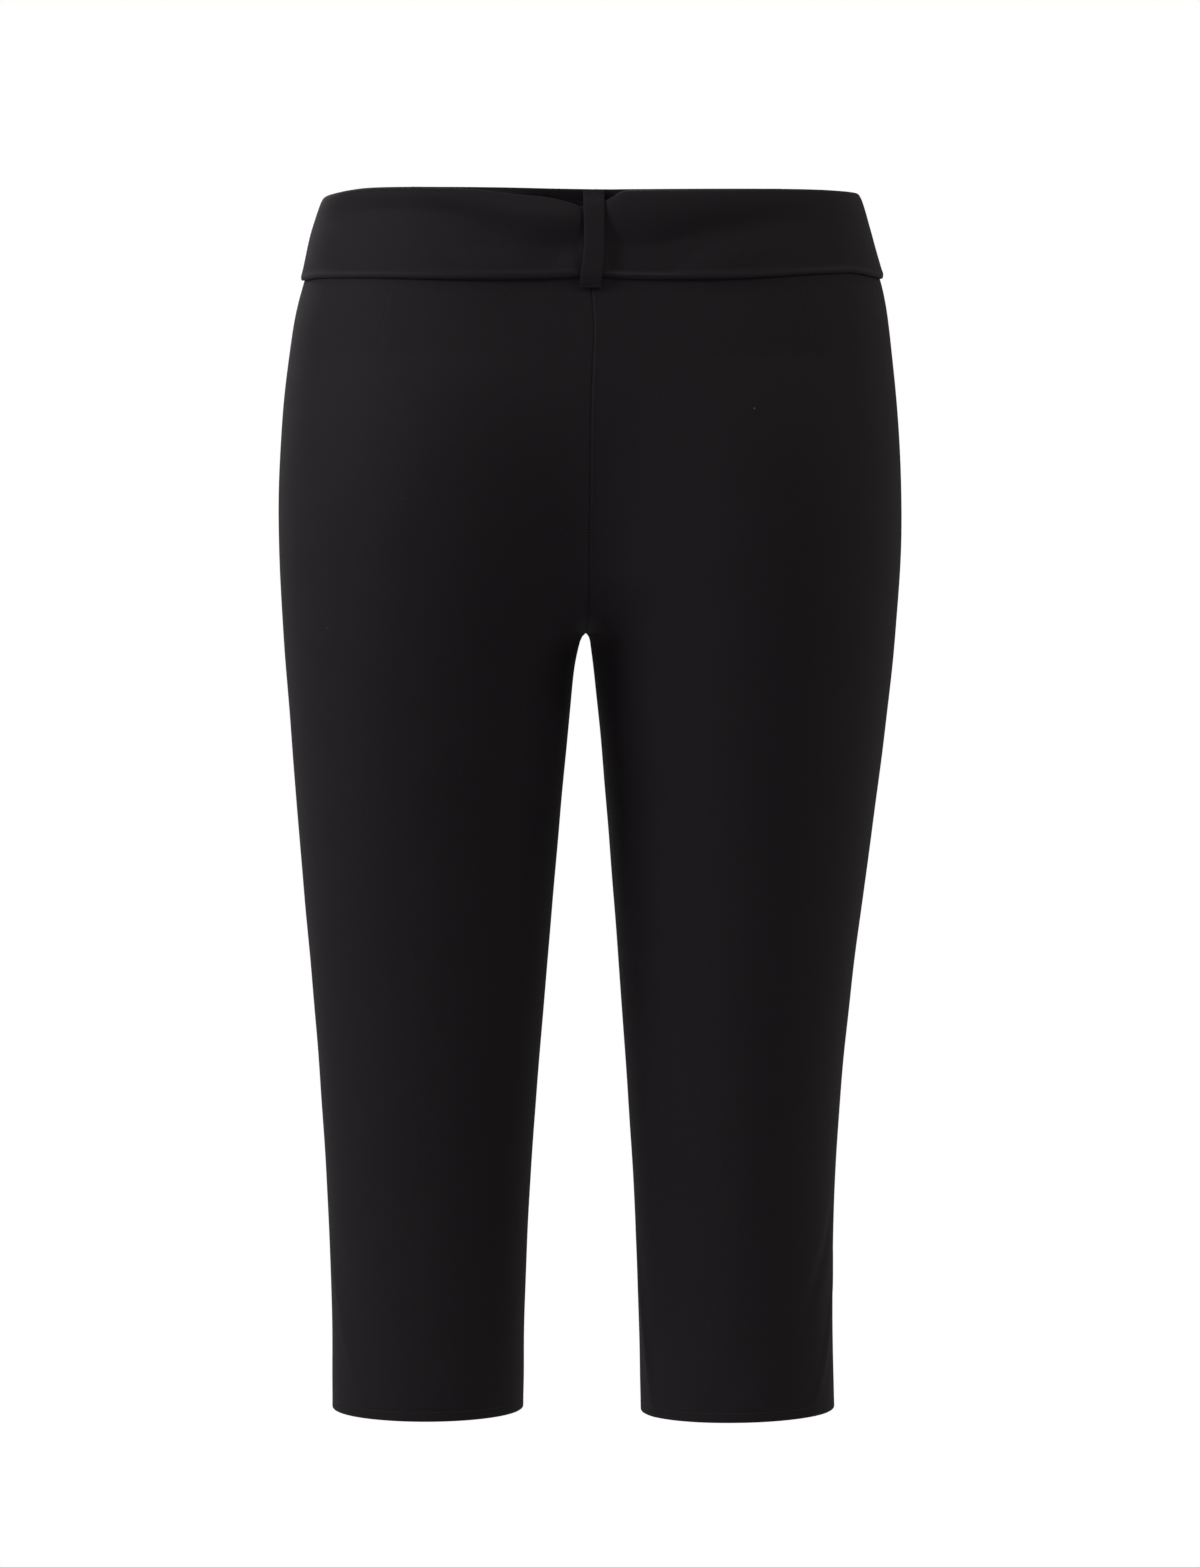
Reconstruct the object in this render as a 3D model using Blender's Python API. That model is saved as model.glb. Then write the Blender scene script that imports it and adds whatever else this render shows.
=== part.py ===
"""Capri pants with a soft waist sash, standing open as they do on a wearer.

Metres, +Z up. The wearer faces -Y, so the seat is at +Y and the wearer's left leg at +X. The origin is the
middle of the waist at its top edge, and heights are written as drops below it.

The pants are cut in four panels, two backs and two fronts, which meet at the centre back, centre front, side
and inner leg seams. A wide sash of the same cloth goes round the waist and laps at the centre front. One loop at
the centre back holds the sash and pinches it.
"""

import math
from collections import namedtuple

import bmesh
import bpy
import numpy as np
from mathutils import Vector

# Driving dimensions
CROTCH_DROP = 0.2715
HEM_DROP = 0.754
CLOTH = 0.0015
SEAM_GAP = 0.0003
HEM_TURN = 0.006
HEM_THICKNESS = 0.0026

# The rise seam rounds under from the seat and the belly to the crotch over these heights. Beside the seam the
# rounding starts lower and more softly, so that the seat runs into the thigh without a fold.
RISE_CURVE_BACK = 0.044
RISE_CURVE_FRONT = 0.070
RISE_POWER_BACK = 2.6
RISE_POWER_FRONT = 2.8
RISE_POWER_ASIDE = 1.35
RISE_POWER_REACH = 0.014
RISE_LEAD = 0.050
RISE_LEAD_REACH = 0.020
# Above that the seam already lies in a shallow cleft, which deepens down the seat to this share of its depth
CLEFT_FROM = 0.100
CLEFT_TO = 0.262
CLEFT_SHARE = 0.22
ARCH_HEIGHT = 0.005
ARCH_REACH = 0.006
ARCH_SPREAD = 0.030
ARCH_FADE = 0.110

# The waist edge dips at each side seam and towards the centre front, and the dip fades out below
WAIST_EDGE_DROP = 0.0001
SIDE_DIP = 0.0042
FRONT_DIP = 0.0095
SIDE_DIP_POWER = 5
FRONT_DIP_POWER = 4
DIP_FADE = 0.110
# The right hem hangs lower towards the other leg
HEM_SAG = 0.0030
HEM_SAG_FROM = 0.660
HEM_SAG_POWER = 1.5

# Outline of the pants at each drop: x of the left and right side seams, and y of the seat side and of the front
Level = namedtuple("Level", "drop left right back front")
LEVELS = [
    Level(0.000, 0.1618, -0.1632, 0.1085, -0.1120),
    Level(0.015, 0.1661, -0.1674, 0.1112, -0.1141),
    Level(0.030, 0.1697, -0.1711, 0.1138, -0.1160),
    Level(0.052, 0.1755, -0.1782, 0.1176, -0.1184),
    Level(0.070, 0.1803, -0.1824, 0.1206, -0.1200),
    Level(0.098, 0.1850, -0.1860, 0.1248, -0.1217),
    Level(0.130, 0.1887, -0.1892, 0.1283, -0.1225),
    Level(0.165, 0.1912, -0.1914, 0.1301, -0.1213),
    Level(0.202, 0.1921, -0.1923, 0.1293, -0.1185),
    Level(0.240, 0.1911, -0.1910, 0.1256, -0.1142),
    Level(0.272, 0.1893, -0.1886, 0.1210, -0.1099),
    Level(0.302, 0.1871, -0.1858, 0.1159, -0.1052),
    Level(0.338, 0.1845, -0.1817, 0.1093, -0.0990),
    Level(0.376, 0.1816, -0.1769, 0.1022, -0.0924),
    Level(0.438, 0.1765, -0.1687, 0.0917, -0.0820),
    Level(0.500, 0.1711, -0.1610, 0.0830, -0.0730),
    Level(0.563, 0.1665, -0.1551, 0.0764, -0.0655),
    Level(0.625, 0.1629, -0.1515, 0.0718, -0.0595),
    Level(0.688, 0.1606, -0.1506, 0.0689, -0.0546),
    Level(0.754, 0.1602, -0.1519, 0.0670, -0.0510),
]

# x of the centre seam at each drop, and below it of the line midway between the legs
Middle = namedtuple("Middle", "drop x")
MIDDLES = [
    Middle(0.000, -0.0018),
    Middle(0.040, -0.0012),
    Middle(0.061, -0.0012),
    Middle(0.078, -0.0026),
    Middle(0.094, -0.0024),
    Middle(0.128, -0.0011),
    Middle(0.165, -0.0005),
    Middle(0.202, -0.0001),
    Middle(0.240, 0.0004),
    Middle(0.260, 0.0013),
    Middle(0.275, 0.0029),
    Middle(0.310, 0.0037),
    Middle(0.376, 0.0039),
    Middle(0.438, 0.0041),
    Middle(0.563, 0.0049),
    Middle(0.625, 0.0052),
    Middle(0.754, 0.0050),
]

# Half the gap between the legs, from the foot of the arch down
Gap = namedtuple("Gap", "drop half")
GAPS = [
    Gap(0.2765, 0.0031),
    Gap(0.289, 0.0054),
    Gap(0.310, 0.0078),
    Gap(0.338, 0.0105),
    Gap(0.376, 0.0140),
    Gap(0.438, 0.0191),
    Gap(0.500, 0.0240),
    Gap(0.563, 0.0288),
    Gap(0.625, 0.0328),
    Gap(0.688, 0.0354),
    Gap(0.754, 0.0367),
]

# How far the waist edge stands above its even line at the back: x of the place, and height
Top = namedtuple("Top", "x height")
TOPS = [
    Top(-0.1650, 0.0027),
    Top(-0.1570, 0.0015),
    Top(-0.1450, 0.0009),
    Top(-0.1000, 0.0003),
    Top(-0.0400, -0.0002),
    Top(-0.0060, -0.0003),
    Top(0.0240, 0.0002),
    Top(0.0600, 0.0009),
    Top(0.0960, 0.0014),
    Top(0.1260, 0.0018),
    Top(0.1440, 0.0013),
    Top(0.1530, 0.0004),
    Top(0.1650, -0.0001),
]

# The mesh of a panel: columns across it, and the drops of its rows along the centre and inner leg seams. Its rows
# are close together at the crotch and fan out to even steps at this share of the way across. The rows under the
# sash and at the hem stay level.
PANEL_COLUMNS = 12
ROWS_EVEN_FROM = 0.5
LEVEL_WAIST_ROWS = 9
LEVEL_HEM_ROWS = 3
RISE_ROWS = (WAIST_EDGE_DROP, 0.009, 0.018, 0.027, 0.036, 0.044, 0.053, 0.064, 0.078, 0.095, 0.115, 0.138, 0.162,
             0.185, 0.206, 0.224, 0.239, 0.2515, 0.2605, 0.2665, 0.2698, 0.2711)
LEG_ROWS = (0.2727, 0.2750, 0.2790, 0.2870, 0.3000, 0.322, 0.352, 0.388, 0.428, 0.470, 0.512, 0.554, 0.596,
            0.638, 0.680, 0.720, HEM_DROP - HEM_TURN, HEM_DROP)

# Sash. Its turns count quarters of the waist from the centre front, and its last quarter stands off to lap.
SASH_TOP_DROP = 0.0012
SASH_BOTTOM_DROP = 0.0545
SASH_THICKNESS = 0.0026
SASH_CROWN = 0.0010
SASH_FOLD_POWER = 12
SASH_LIFT_FROM = 3.66
SASH_STEPS_BESIDE_LOOP = (0.022, 0.050, 0.115)
SASH_LAP_COLUMNS = 3
SASH_ACROSS = (0.0, 0.05, 0.16, 0.30, 0.45, 0.60, 0.74, 0.87, 0.96, 1.0)

# How the sash is drawn together beside the loop: distance from the loop towards the wearer's left, how far its
# top edge is pulled down and its bottom edge up, and how far the cloth stands off the pants
Pinch = namedtuple("Pinch", "x top_down bottom_up stand_off")
PINCHES = [
    Pinch(-0.1200, 0.0000, 0.0000, 0.0000),
    Pinch(-0.0600, 0.0000, 0.0000, 0.0014),
    Pinch(-0.0280, 0.0001, 0.0001, 0.0026),
    Pinch(-0.0180, 0.0009, 0.0003, 0.0020),
    Pinch(-0.0130, 0.0036, 0.0005, 0.0012),
    Pinch(-0.0065, 0.0078, 0.0007, 0.0003),
    Pinch(0.0000, 0.0105, 0.0008, 0.0000),
    Pinch(0.0065, 0.0118, 0.0008, 0.0003),
    Pinch(0.0110, 0.0102, 0.0006, 0.0016),
    Pinch(0.0180, 0.0077, 0.0003, 0.0026),
    Pinch(0.0300, 0.0056, 0.0001, 0.0030),
    Pinch(0.0450, 0.0048, 0.0000, 0.0027),
    Pinch(0.0560, 0.0030, 0.0000, 0.0022),
    Pinch(0.0700, 0.0011, 0.0000, 0.0016),
    Pinch(0.0900, 0.0002, 0.0000, 0.0008),
    Pinch(0.1200, 0.0000, 0.0000, 0.0000),
]

# Belt loop
LOOP_WIDTH = 0.0126
LOOP_THICKNESS = 0.0015
LOOP_PROUD = 0.0014
LOOP_BOTTOM_DROP = 0.0604
LOOP_X_TOP = -0.0024
LOOP_X_MIDDLE = -0.0029
LOOP_X_BOTTOM = -0.0005
LOOP_BEND_DROP = 0.0340
LOOP_TAIL = 0.0035
LOOP_EDGE = 0.0004
LOOP_FOLD_STEPS = 6
# Its path at each drop: how much of the way out it has come on its way over the sash, and then still is
LOOP_RISE = ((0.0012, 0.0), (0.0040, 0.10), (0.0070, 0.48), (0.0100, 0.86), (0.0140, 1.0), (0.0220, 1.12),
             (0.0300, 1.15), (0.0380, 1.12))
LOOP_FALL = ((0.0480, 1.02), (0.0535, 0.92), (0.0565, 0.62))

CLOTH_COLOUR = (0.021, 0.018, 0.020, 1.0)
CLOTH_ROUGHNESS = 0.75
SHARP_EDGE_DEGREES = 50


# ---------------------------------------------------------------- tables


def table_value(table, column, place):
    """The named column at this place along the table, on a smooth curve through its rows."""
    key = [row[0] for row in table]
    value = [getattr(row, column) for row in table]
    place = min(max(place, key[0]), key[-1])
    i = next(n for n in range(len(key) - 1) if place <= key[n + 1])

    def slope(n):
        low, high = max(n - 1, 0), min(n + 1, len(key) - 1)
        return (value[high] - value[low]) / (key[high] - key[low])

    step = key[i + 1] - key[i]
    t = (place - key[i]) / step
    return (
        value[i] * (1 + 2 * t) * (1 - t) ** 2
        + value[i + 1] * t * t * (3 - 2 * t)
        + step * (slope(i) * t * (1 - t) ** 2 - slope(i + 1) * t * t * (1 - t))
    )


class Curve:
    """A column of a table, on the smoothest curve through its rows."""

    def __init__(self, table, column):
        self.key = key = [row[0] for row in table]
        self.value = value = [getattr(row, column) for row in table]
        slope = [(value[n + 1] - value[n]) / (key[n + 1] - key[n]) for n in range(len(key) - 1)]
        system, change = np.eye(len(key)), np.zeros(len(key))
        for n in range(1, len(key) - 1):
            before, after = key[n] - key[n - 1], key[n + 1] - key[n]
            system[n, n - 1 : n + 2] = before, 2 * (before + after), after
            change[n] = 6 * (slope[n] - slope[n - 1])
        self.bend = np.linalg.solve(system, change).tolist()

    def at(self, place):
        place = min(max(place, self.key[0]), self.key[-1])
        i = next(n for n in range(len(self.key) - 1) if place <= self.key[n + 1])
        step = self.key[i + 1] - self.key[i]
        t = (place - self.key[i]) / step
        curved = (t**3 - t) * self.bend[i + 1] + ((1 - t) ** 3 - (1 - t)) * self.bend[i]
        return self.value[i] + (self.value[i + 1] - self.value[i]) * t + curved * step**2 / 6


OUTLINE = {name: Curve(LEVELS, name) for name in Level._fields[1:]}
MIDDLE_LINE = Curve(MIDDLES, "x")
HALF_GAP = Curve(GAPS, "half")
EDGE_HEIGHT = Curve(TOPS, "height")


def ease(t):
    t = min(max(t, 0.0), 1.0)
    return t * t * (3 - 2 * t)


# ---------------------------------------------------------------- the body of the pants


def leg_gap(drop):
    """Half the gap between the legs, which opens as a round arch just below the crotch."""
    opened = min(max((drop - CROTCH_DROP) / ARCH_HEIGHT, 0), 1)
    return HALF_GAP.at(drop) * math.sqrt(opened)


def rise(face, drop, aside):
    """How far the body reaches out towards the seat or belly: 0 at the crotch and 1 above the curve. aside is how
    far it is to the centre seam."""
    lead = RISE_LEAD * (1 - math.exp(-aside / RISE_LEAD_REACH))
    curve, power = (RISE_CURVE_BACK, RISE_POWER_BACK) if face > 0 else (RISE_CURVE_FRONT, RISE_POWER_FRONT)
    power = RISE_POWER_ASIDE + (power - RISE_POWER_ASIDE) * math.exp(-aside / RISE_POWER_REACH)
    height = min(max((CROTCH_DROP + lead - drop) / (curve + lead), 0), 1)
    cleft = CLEFT_SHARE * ease((drop - CLEFT_FROM) / (CLEFT_TO - CLEFT_FROM)) if face > 0 else 0.0
    return (1 - cleft) * (1 - (1 - height) ** power) ** (1 / power)


def edge_dip(face, across, x):
    """How far the waist edge dips here. It stays level behind, dips at the side seams and is lowest in front."""
    if face > 0:
        return SIDE_DIP * across**SIDE_DIP_POWER - EDGE_HEIGHT.at(x)
    return FRONT_DIP + (SIDE_DIP - FRONT_DIP - EDGE_HEIGHT.at(x)) * across**FRONT_DIP_POWER


def skin(side, face, across, drop):
    """A point of the pants' outer surface. side is 1 on the wearer's left and -1 on the right, face is 1 behind
    and -1 in front, and across runs from 0 at the centre or inner leg seam to 1 at the side seam."""
    middle = MIDDLE_LINE.at(drop)
    width = abs(OUTLINE["left" if side > 0 else "right"].at(drop) - middle)
    back, front = OUTLINE["back"].at(drop), OUTLINE["front"].at(drop)
    half = width / 2
    round_spread = (1 - math.cos(math.pi * across)) / 2
    flat_spread = math.sin(math.pi / 2 * across)
    reach = rise(face, drop, width * round_spread)
    # A leg is an ellipse. Above the crotch it is cut off at the centre seam, and the cut end is rounded over.
    notch = half * (1 - math.sqrt(1 - reach * reach))
    out = width * (round_spread + (flat_spread - round_spread) * reach)
    along = math.sqrt(notch**2 + out**2 * (1 - (notch / width) ** 2))
    deep = math.sqrt(max(0.0, 1 - ((along - half) / half) ** 2))
    # Below the crotch the legs part in a rounded arch, which soon becomes a plain gap beside a whole ellipse. Away
    # from the inner leg seam the arch opens more slowly, so that the thigh has no crease at the crotch's height.
    gap = leg_gap(drop)
    below = drop - CROTCH_DROP
    near_seam = math.exp(-((out / ARCH_REACH) ** 2))
    opened = gap**2 * (near_seam + (1 - near_seam) * ease(below / ARCH_SPREAD))
    arched = math.sqrt(opened + out**2 * (1 - opened / width**2))
    apart = gap + out * (1 - gap / width)
    out = arched + (apart - arched) * ease(below / ARCH_FADE)
    x = middle + side * out
    y = (back + front) / 2 + face * (back - front) / 2 * deep
    dip = edge_dip(face, across, x) * max(0.0, 1 - drop / DIP_FADE) ** 2
    if side < 0:
        sag = HEM_SAG * ease((drop - HEM_SAG_FROM) / (HEM_DROP - HEM_SAG_FROM))
        dip += sag * max(0.0, 1 - out / width) ** HEM_SAG_POWER
    return Vector((x, y, -drop - dip))


def skin_normal(side, face, across, drop):
    """The direction straight out of the pants' surface, from short steps along it."""
    step_across, step_down = 1e-4, 2e-4
    left_across, right_across = max(across - step_across, 0), min(across + step_across, 1)
    upper_drop = drop if abs(drop - CROTCH_DROP) < step_down else max(drop - step_down, 0)
    lower_drop = min(drop + step_down, HEM_DROP)
    along = skin(side, face, right_across, drop) - skin(side, face, left_across, drop)
    down = skin(side, face, across, lower_drop) - skin(side, face, across, upper_drop)
    if across == 0 and drop < CROTCH_DROP:
        along = Vector((side, 0, 0))
        down.x = 0
    elif across == 0 and drop == CROTCH_DROP:
        return Vector((0, 0, -1))
    elif across == 0:
        along = Vector((0, face, 0))
    elif across == 1:
        along = Vector((0, -face, 0))
    return (along.cross(down) * side * face).normalized()


# ---------------------------------------------------------------- building


def clear_scene():
    for old in list(bpy.data.objects):
        bpy.data.objects.remove(old, do_unlink=True)


def cloth_material(name):
    material = bpy.data.materials.new(name)
    material.use_nodes = True
    shader = material.node_tree.nodes["Principled BSDF"]
    shader.inputs["Base Color"].default_value = CLOTH_COLOUR
    shader.inputs["Roughness"].default_value = CLOTH_ROUGHNESS
    shader.inputs["Metallic"].default_value = 0.0
    return material


def add_wall(name, sections, strip_ends=False):
    """Makes a closed object from rings of points, joined one to the next. Its two ends are closed by one flat
    face each or, on a wide wall, by a strip between its outer and its inner side."""
    mesh_edit = bmesh.new()
    rings = [[mesh_edit.verts.new(point) for point in section] for section in sections]
    count = len(rings[0])
    for ring, following in zip(rings, rings[1:]):
        for n in range(count):
            after = (n + 1) % count
            mesh_edit.faces.new((ring[n], ring[after], following[after], following[n]))
    for ring in (rings[0], rings[-1]):
        if not strip_ends:
            mesh_edit.faces.new(ring)
            continue
        for n in range(count // 2 - 1):
            mesh_edit.faces.new((ring[n], ring[n + 1], ring[count - 2 - n], ring[count - 1 - n]))
    bmesh.ops.recalc_face_normals(mesh_edit, faces=mesh_edit.faces)
    mesh = bpy.data.meshes.new(name)
    mesh_edit.to_mesh(mesh)
    mesh_edit.free()
    mesh.shade_smooth()
    mesh.set_sharp_from_angle(angle=math.radians(SHARP_EDGE_DEGREES))
    mesh.materials.append(cloth_material(name + "_cloth"))
    made = bpy.data.objects.new(name, mesh)
    bpy.context.scene.collection.objects.link(made)


def panel_drops(n):
    """The drop at each column of row n."""
    rows = RISE_ROWS + (CROTCH_DROP,) + LEG_ROWS
    first, last = LEVEL_WAIST_ROWS, len(rows) - LEVEL_HEM_ROWS
    even = rows[n]
    if first < n < last:
        even = rows[first] + (rows[last] - rows[first]) * (n - first) / (last - first)
    shares = [ease(column / PANEL_COLUMNS / ROWS_EVEN_FROM) for column in range(PANEL_COLUMNS + 1)]
    return [rows[n] + (even - rows[n]) * share for share in shares]


def panel_section(side, face, drops):
    """Across a panel along its outer face and back along its inner one, drawn back at the seams to leave the
    seam gap. The hem is turned up inside, so the wall is thicker at its edge."""
    outer, inner = [], []
    for n, drop in enumerate(drops):
        across = n / PANEL_COLUMNS
        point = skin(side, face, across, drop)
        if n == 0 and drop <= CROTCH_DROP:
            point.x += side * SEAM_GAP / 2
        if n == PANEL_COLUMNS or (n == 0 and drop >= CROTCH_DROP):
            point.y += face * SEAM_GAP / 2
        outer.append(point)
        thickness = HEM_THICKNESS if drop == HEM_DROP else CLOTH
        inner.append(point - skin_normal(side, face, across, drop) * thickness)
    return outer + inner[::-1]


def build_panels():
    """The four cut pieces, each from the waist edge to the hem and from the centre to the side seam."""
    row_count = len(RISE_ROWS) + 1 + len(LEG_ROWS)
    for side, side_name in ((1, "left"), (-1, "right")):
        for face, face_name in ((1, "back"), (-1, "front")):
            sections = [panel_section(side, face, panel_drops(n)) for n in range(row_count)]
            add_wall(face_name + "_" + side_name, sections, strip_ends=True)


def waist_place(turn):
    """Side, face and across at this turn of the waist: 0 is the centre front, 1 the left side seam, 2 the centre
    back, 3 the right side seam and 4 the centre front again."""
    quarter, part = int(turn) % 4, turn - int(turn)
    side = 1 if quarter < 2 else -1
    face = 1 if quarter in (1, 2) else -1
    return side, face, part if quarter % 2 == 0 else 1 - part


def sash_turns():
    """Stations along the sash, in line with the panels' columns and closer together beside the loop."""
    plain = [n / PANEL_COLUMNS for n in range(4 * PANEL_COLUMNS + SASH_LAP_COLUMNS + 1)]
    beside_loop = [2 + way * step for step in SASH_STEPS_BESIDE_LOOP for way in (-1, 1)]
    return sorted(plain + beside_loop)


def sash_section(turn):
    """Down the sash's outer face and up its inner one, with a rounded fold at the top and at the bottom. The end
    that laps over the other stands off to clear it."""
    side, face, across = waist_place(turn)
    beside = skin(side, face, across, SASH_BOTTOM_DROP / 2).x - LOOP_X_TOP
    top_down, bottom_up, stand_off = 0.0, 0.0, 0.0
    if face > 0:
        top_down, bottom_up, stand_off = (table_value(PINCHES, c, beside) for c in Pinch._fields[1:])
    top = SASH_TOP_DROP + top_down
    bottom = SASH_BOTTOM_DROP - bottom_up
    lift = (SASH_THICKNESS + SASH_CROWN + SEAM_GAP) * ease((turn - SASH_LIFT_FROM) / (4 - SASH_LIFT_FROM))
    outer, inner = [], []
    for down in SASH_ACROSS:
        drop = top + (bottom - top) * down
        base = skin(side, face, across, drop)
        normal = skin_normal(side, face, across, drop)
        half = SASH_THICKNESS / 2 * math.sqrt(1 - abs(2 * down - 1) ** SASH_FOLD_POWER)
        middle = SEAM_GAP + SASH_THICKNESS / 2 + lift + stand_off * math.sin(math.pi * down)
        outer.append(base + normal * (middle + half + SASH_CROWN * math.sin(math.pi * down) ** 2))
        inner.append(base + normal * (middle - half))
    return outer + inner[-2:0:-1]


def build_sash():
    add_wall("sash", [sash_section(turn) for turn in sash_turns()])


def loop_line():
    """The loop's middle line as (drop, distance off the pants): from its sewn top end down over the sash, round
    its bottom fold and up to the tucked end behind."""
    half = LOOP_THICKNESS / 2
    over = SEAM_GAP + SASH_THICKNESS + SASH_CROWN + SEAM_GAP + half + LOOP_PROUD
    behind = SEAM_GAP + half
    fold_radius = half + SEAM_GAP / 2
    fold_centre = LOOP_BOTTOM_DROP - half - fold_radius
    front = behind + 2 * fold_radius
    line = [(drop, behind + (over - behind) * share) for drop, share in LOOP_RISE]
    line += [(drop, front + (over - front) * share) for drop, share in LOOP_FALL]
    for step in range(LOOP_FOLD_STEPS + 1):
        angle = math.pi * step / LOOP_FOLD_STEPS
        line.append((fold_centre + fold_radius * math.sin(angle), behind + fold_radius * (1 + math.cos(angle))))
    return line + [(fold_centre - LOOP_TAIL, behind)]


def loop_x(drop):
    """The loop bends a little to the wearer's right on its way down, and back to its sewn foot."""
    down = ease(drop / LOOP_BEND_DROP)
    on = ease((drop - LOOP_BEND_DROP) / (LOOP_BOTTOM_DROP - LOOP_BEND_DROP))
    return LOOP_X_TOP + (LOOP_X_MIDDLE - LOOP_X_TOP) * down + (LOOP_X_BOTTOM - LOOP_X_MIDDLE) * on


def build_loop():
    """A flat strap round its middle line, with its long edges rounded."""
    line = loop_line()
    half_width, half, edge = LOOP_WIDTH / 2, LOOP_THICKNESS / 2, LOOP_EDGE
    outline = [(half_width - edge, half), (half_width, half - edge), (half_width, edge - half)]
    outline += [(half_width - edge, -half), (edge - half_width, -half), (-half_width, edge - half)]
    outline += [(-half_width, half - edge), (edge - half_width, half)]
    sections = []
    for n, (drop, off) in enumerate(line):
        before, after = line[max(n - 1, 0)], line[min(n + 1, len(line) - 1)]
        run = Vector((0, after[1] - before[1], before[0] - after[0])).normalized()
        out = Vector((0, -run.z, run.y))
        base = skin(1, 1, 0, drop)
        base.x = loop_x(drop)
        centre = base + skin_normal(1, 1, 0, drop) * off
        sections.append([centre + Vector((wide, 0, 0)) + out * thick for wide, thick in outline])
    add_wall("belt_loop", sections)


def main():
    clear_scene()
    build_panels()
    build_sash()
    build_loop()


main()
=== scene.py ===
"""Capri pants with a soft waist sash, standing open as they do on a wearer.

Metres, +Z up. The wearer faces -Y, so the seat is at +Y and the wearer's left leg at +X. The origin is the
middle of the waist at its top edge, and heights are written as drops below it.

The cloth is a fine double knit. Each panel is a thin closed shell with its seams, dart, hem and creases worked
into it. The sash is one folded band round the waist, gathered under a single loop at the centre back.
"""

import math
from collections import namedtuple

import bpy
import numpy as np
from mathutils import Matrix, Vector


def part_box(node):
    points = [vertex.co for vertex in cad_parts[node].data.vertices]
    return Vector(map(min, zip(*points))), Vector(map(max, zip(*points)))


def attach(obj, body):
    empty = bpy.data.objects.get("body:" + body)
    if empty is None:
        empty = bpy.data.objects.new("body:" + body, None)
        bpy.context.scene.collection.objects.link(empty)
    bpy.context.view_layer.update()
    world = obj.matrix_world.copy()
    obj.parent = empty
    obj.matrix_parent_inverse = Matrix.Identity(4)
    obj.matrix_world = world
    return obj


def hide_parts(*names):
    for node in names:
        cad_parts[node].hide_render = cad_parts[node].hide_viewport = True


bl_info = {
    "name": "Capri Pants",
    "version": (1, 0, 0),
    "blender": (4, 5, 0),
    "location": "3D View > Sidebar > Capri Pants",
    "description": "Makes the cloth, the sewing and the stage of a pair of capri pants with a waist sash",
    "category": "Add Mesh",
}

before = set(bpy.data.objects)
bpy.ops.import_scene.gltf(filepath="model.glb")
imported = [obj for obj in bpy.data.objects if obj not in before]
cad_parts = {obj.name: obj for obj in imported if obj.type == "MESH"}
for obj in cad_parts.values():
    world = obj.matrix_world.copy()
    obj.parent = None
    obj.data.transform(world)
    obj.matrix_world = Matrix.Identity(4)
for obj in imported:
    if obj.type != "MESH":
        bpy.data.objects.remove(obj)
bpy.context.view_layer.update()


def make_table(columns, *rows):
    """Rows with named columns. The first column is the place along the table, where it has one."""
    row_type = namedtuple("Row", columns)
    return [row_type(*row) for row in rows]


# ---------------------------------------------------------------- sizes

HEM_DROP = round(-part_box("back_left")[0].z, 5)
CROTCH_DROP = 0.2715
SEAM_GAP = 0.0003

# The rise seam rounds under from the seat and the belly to the crotch over these heights. Beside the seam the
# rounding starts lower and more softly, so that the seat runs into the thigh without a fold.
RISE_CURVE_BACK = 0.044
RISE_CURVE_FRONT = 0.070
RISE_POWER_BACK = 2.6
RISE_POWER_FRONT = 2.8
RISE_SOFT_FRONT = 0.15
RISE_POWER_ASIDE = 1.35
RISE_POWER_REACH = 0.014
RISE_LEAD = 0.050
RISE_LEAD_REACH = 0.020
# Above that the seam already lies in a shallow cleft, which deepens down the seat to this share of its depth
CLEFT_FROM = 0.100
CLEFT_TO = 0.262
CLEFT_SHARE = 0.22
ARCH_HEIGHT = 0.005
ARCH_REACH = 0.006
ARCH_SPREAD = 0.030
ARCH_FADE = 0.110

# The waist edge dips at each side seam and towards the centre front, and the dip fades out below
WAIST_EDGE_DROP = 0.0001
SIDE_DIP = 0.0042
SIDE_DIP_POWER = 5
FRONT_DIP = 0.0095
FRONT_DIP_POWER = 4
DIP_FADE = 0.110
# The right hem hangs lower towards the other leg
HEM_SAG = 0.0030
HEM_SAG_FROM = 0.660
HEM_SAG_POWER = 1.5

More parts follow.
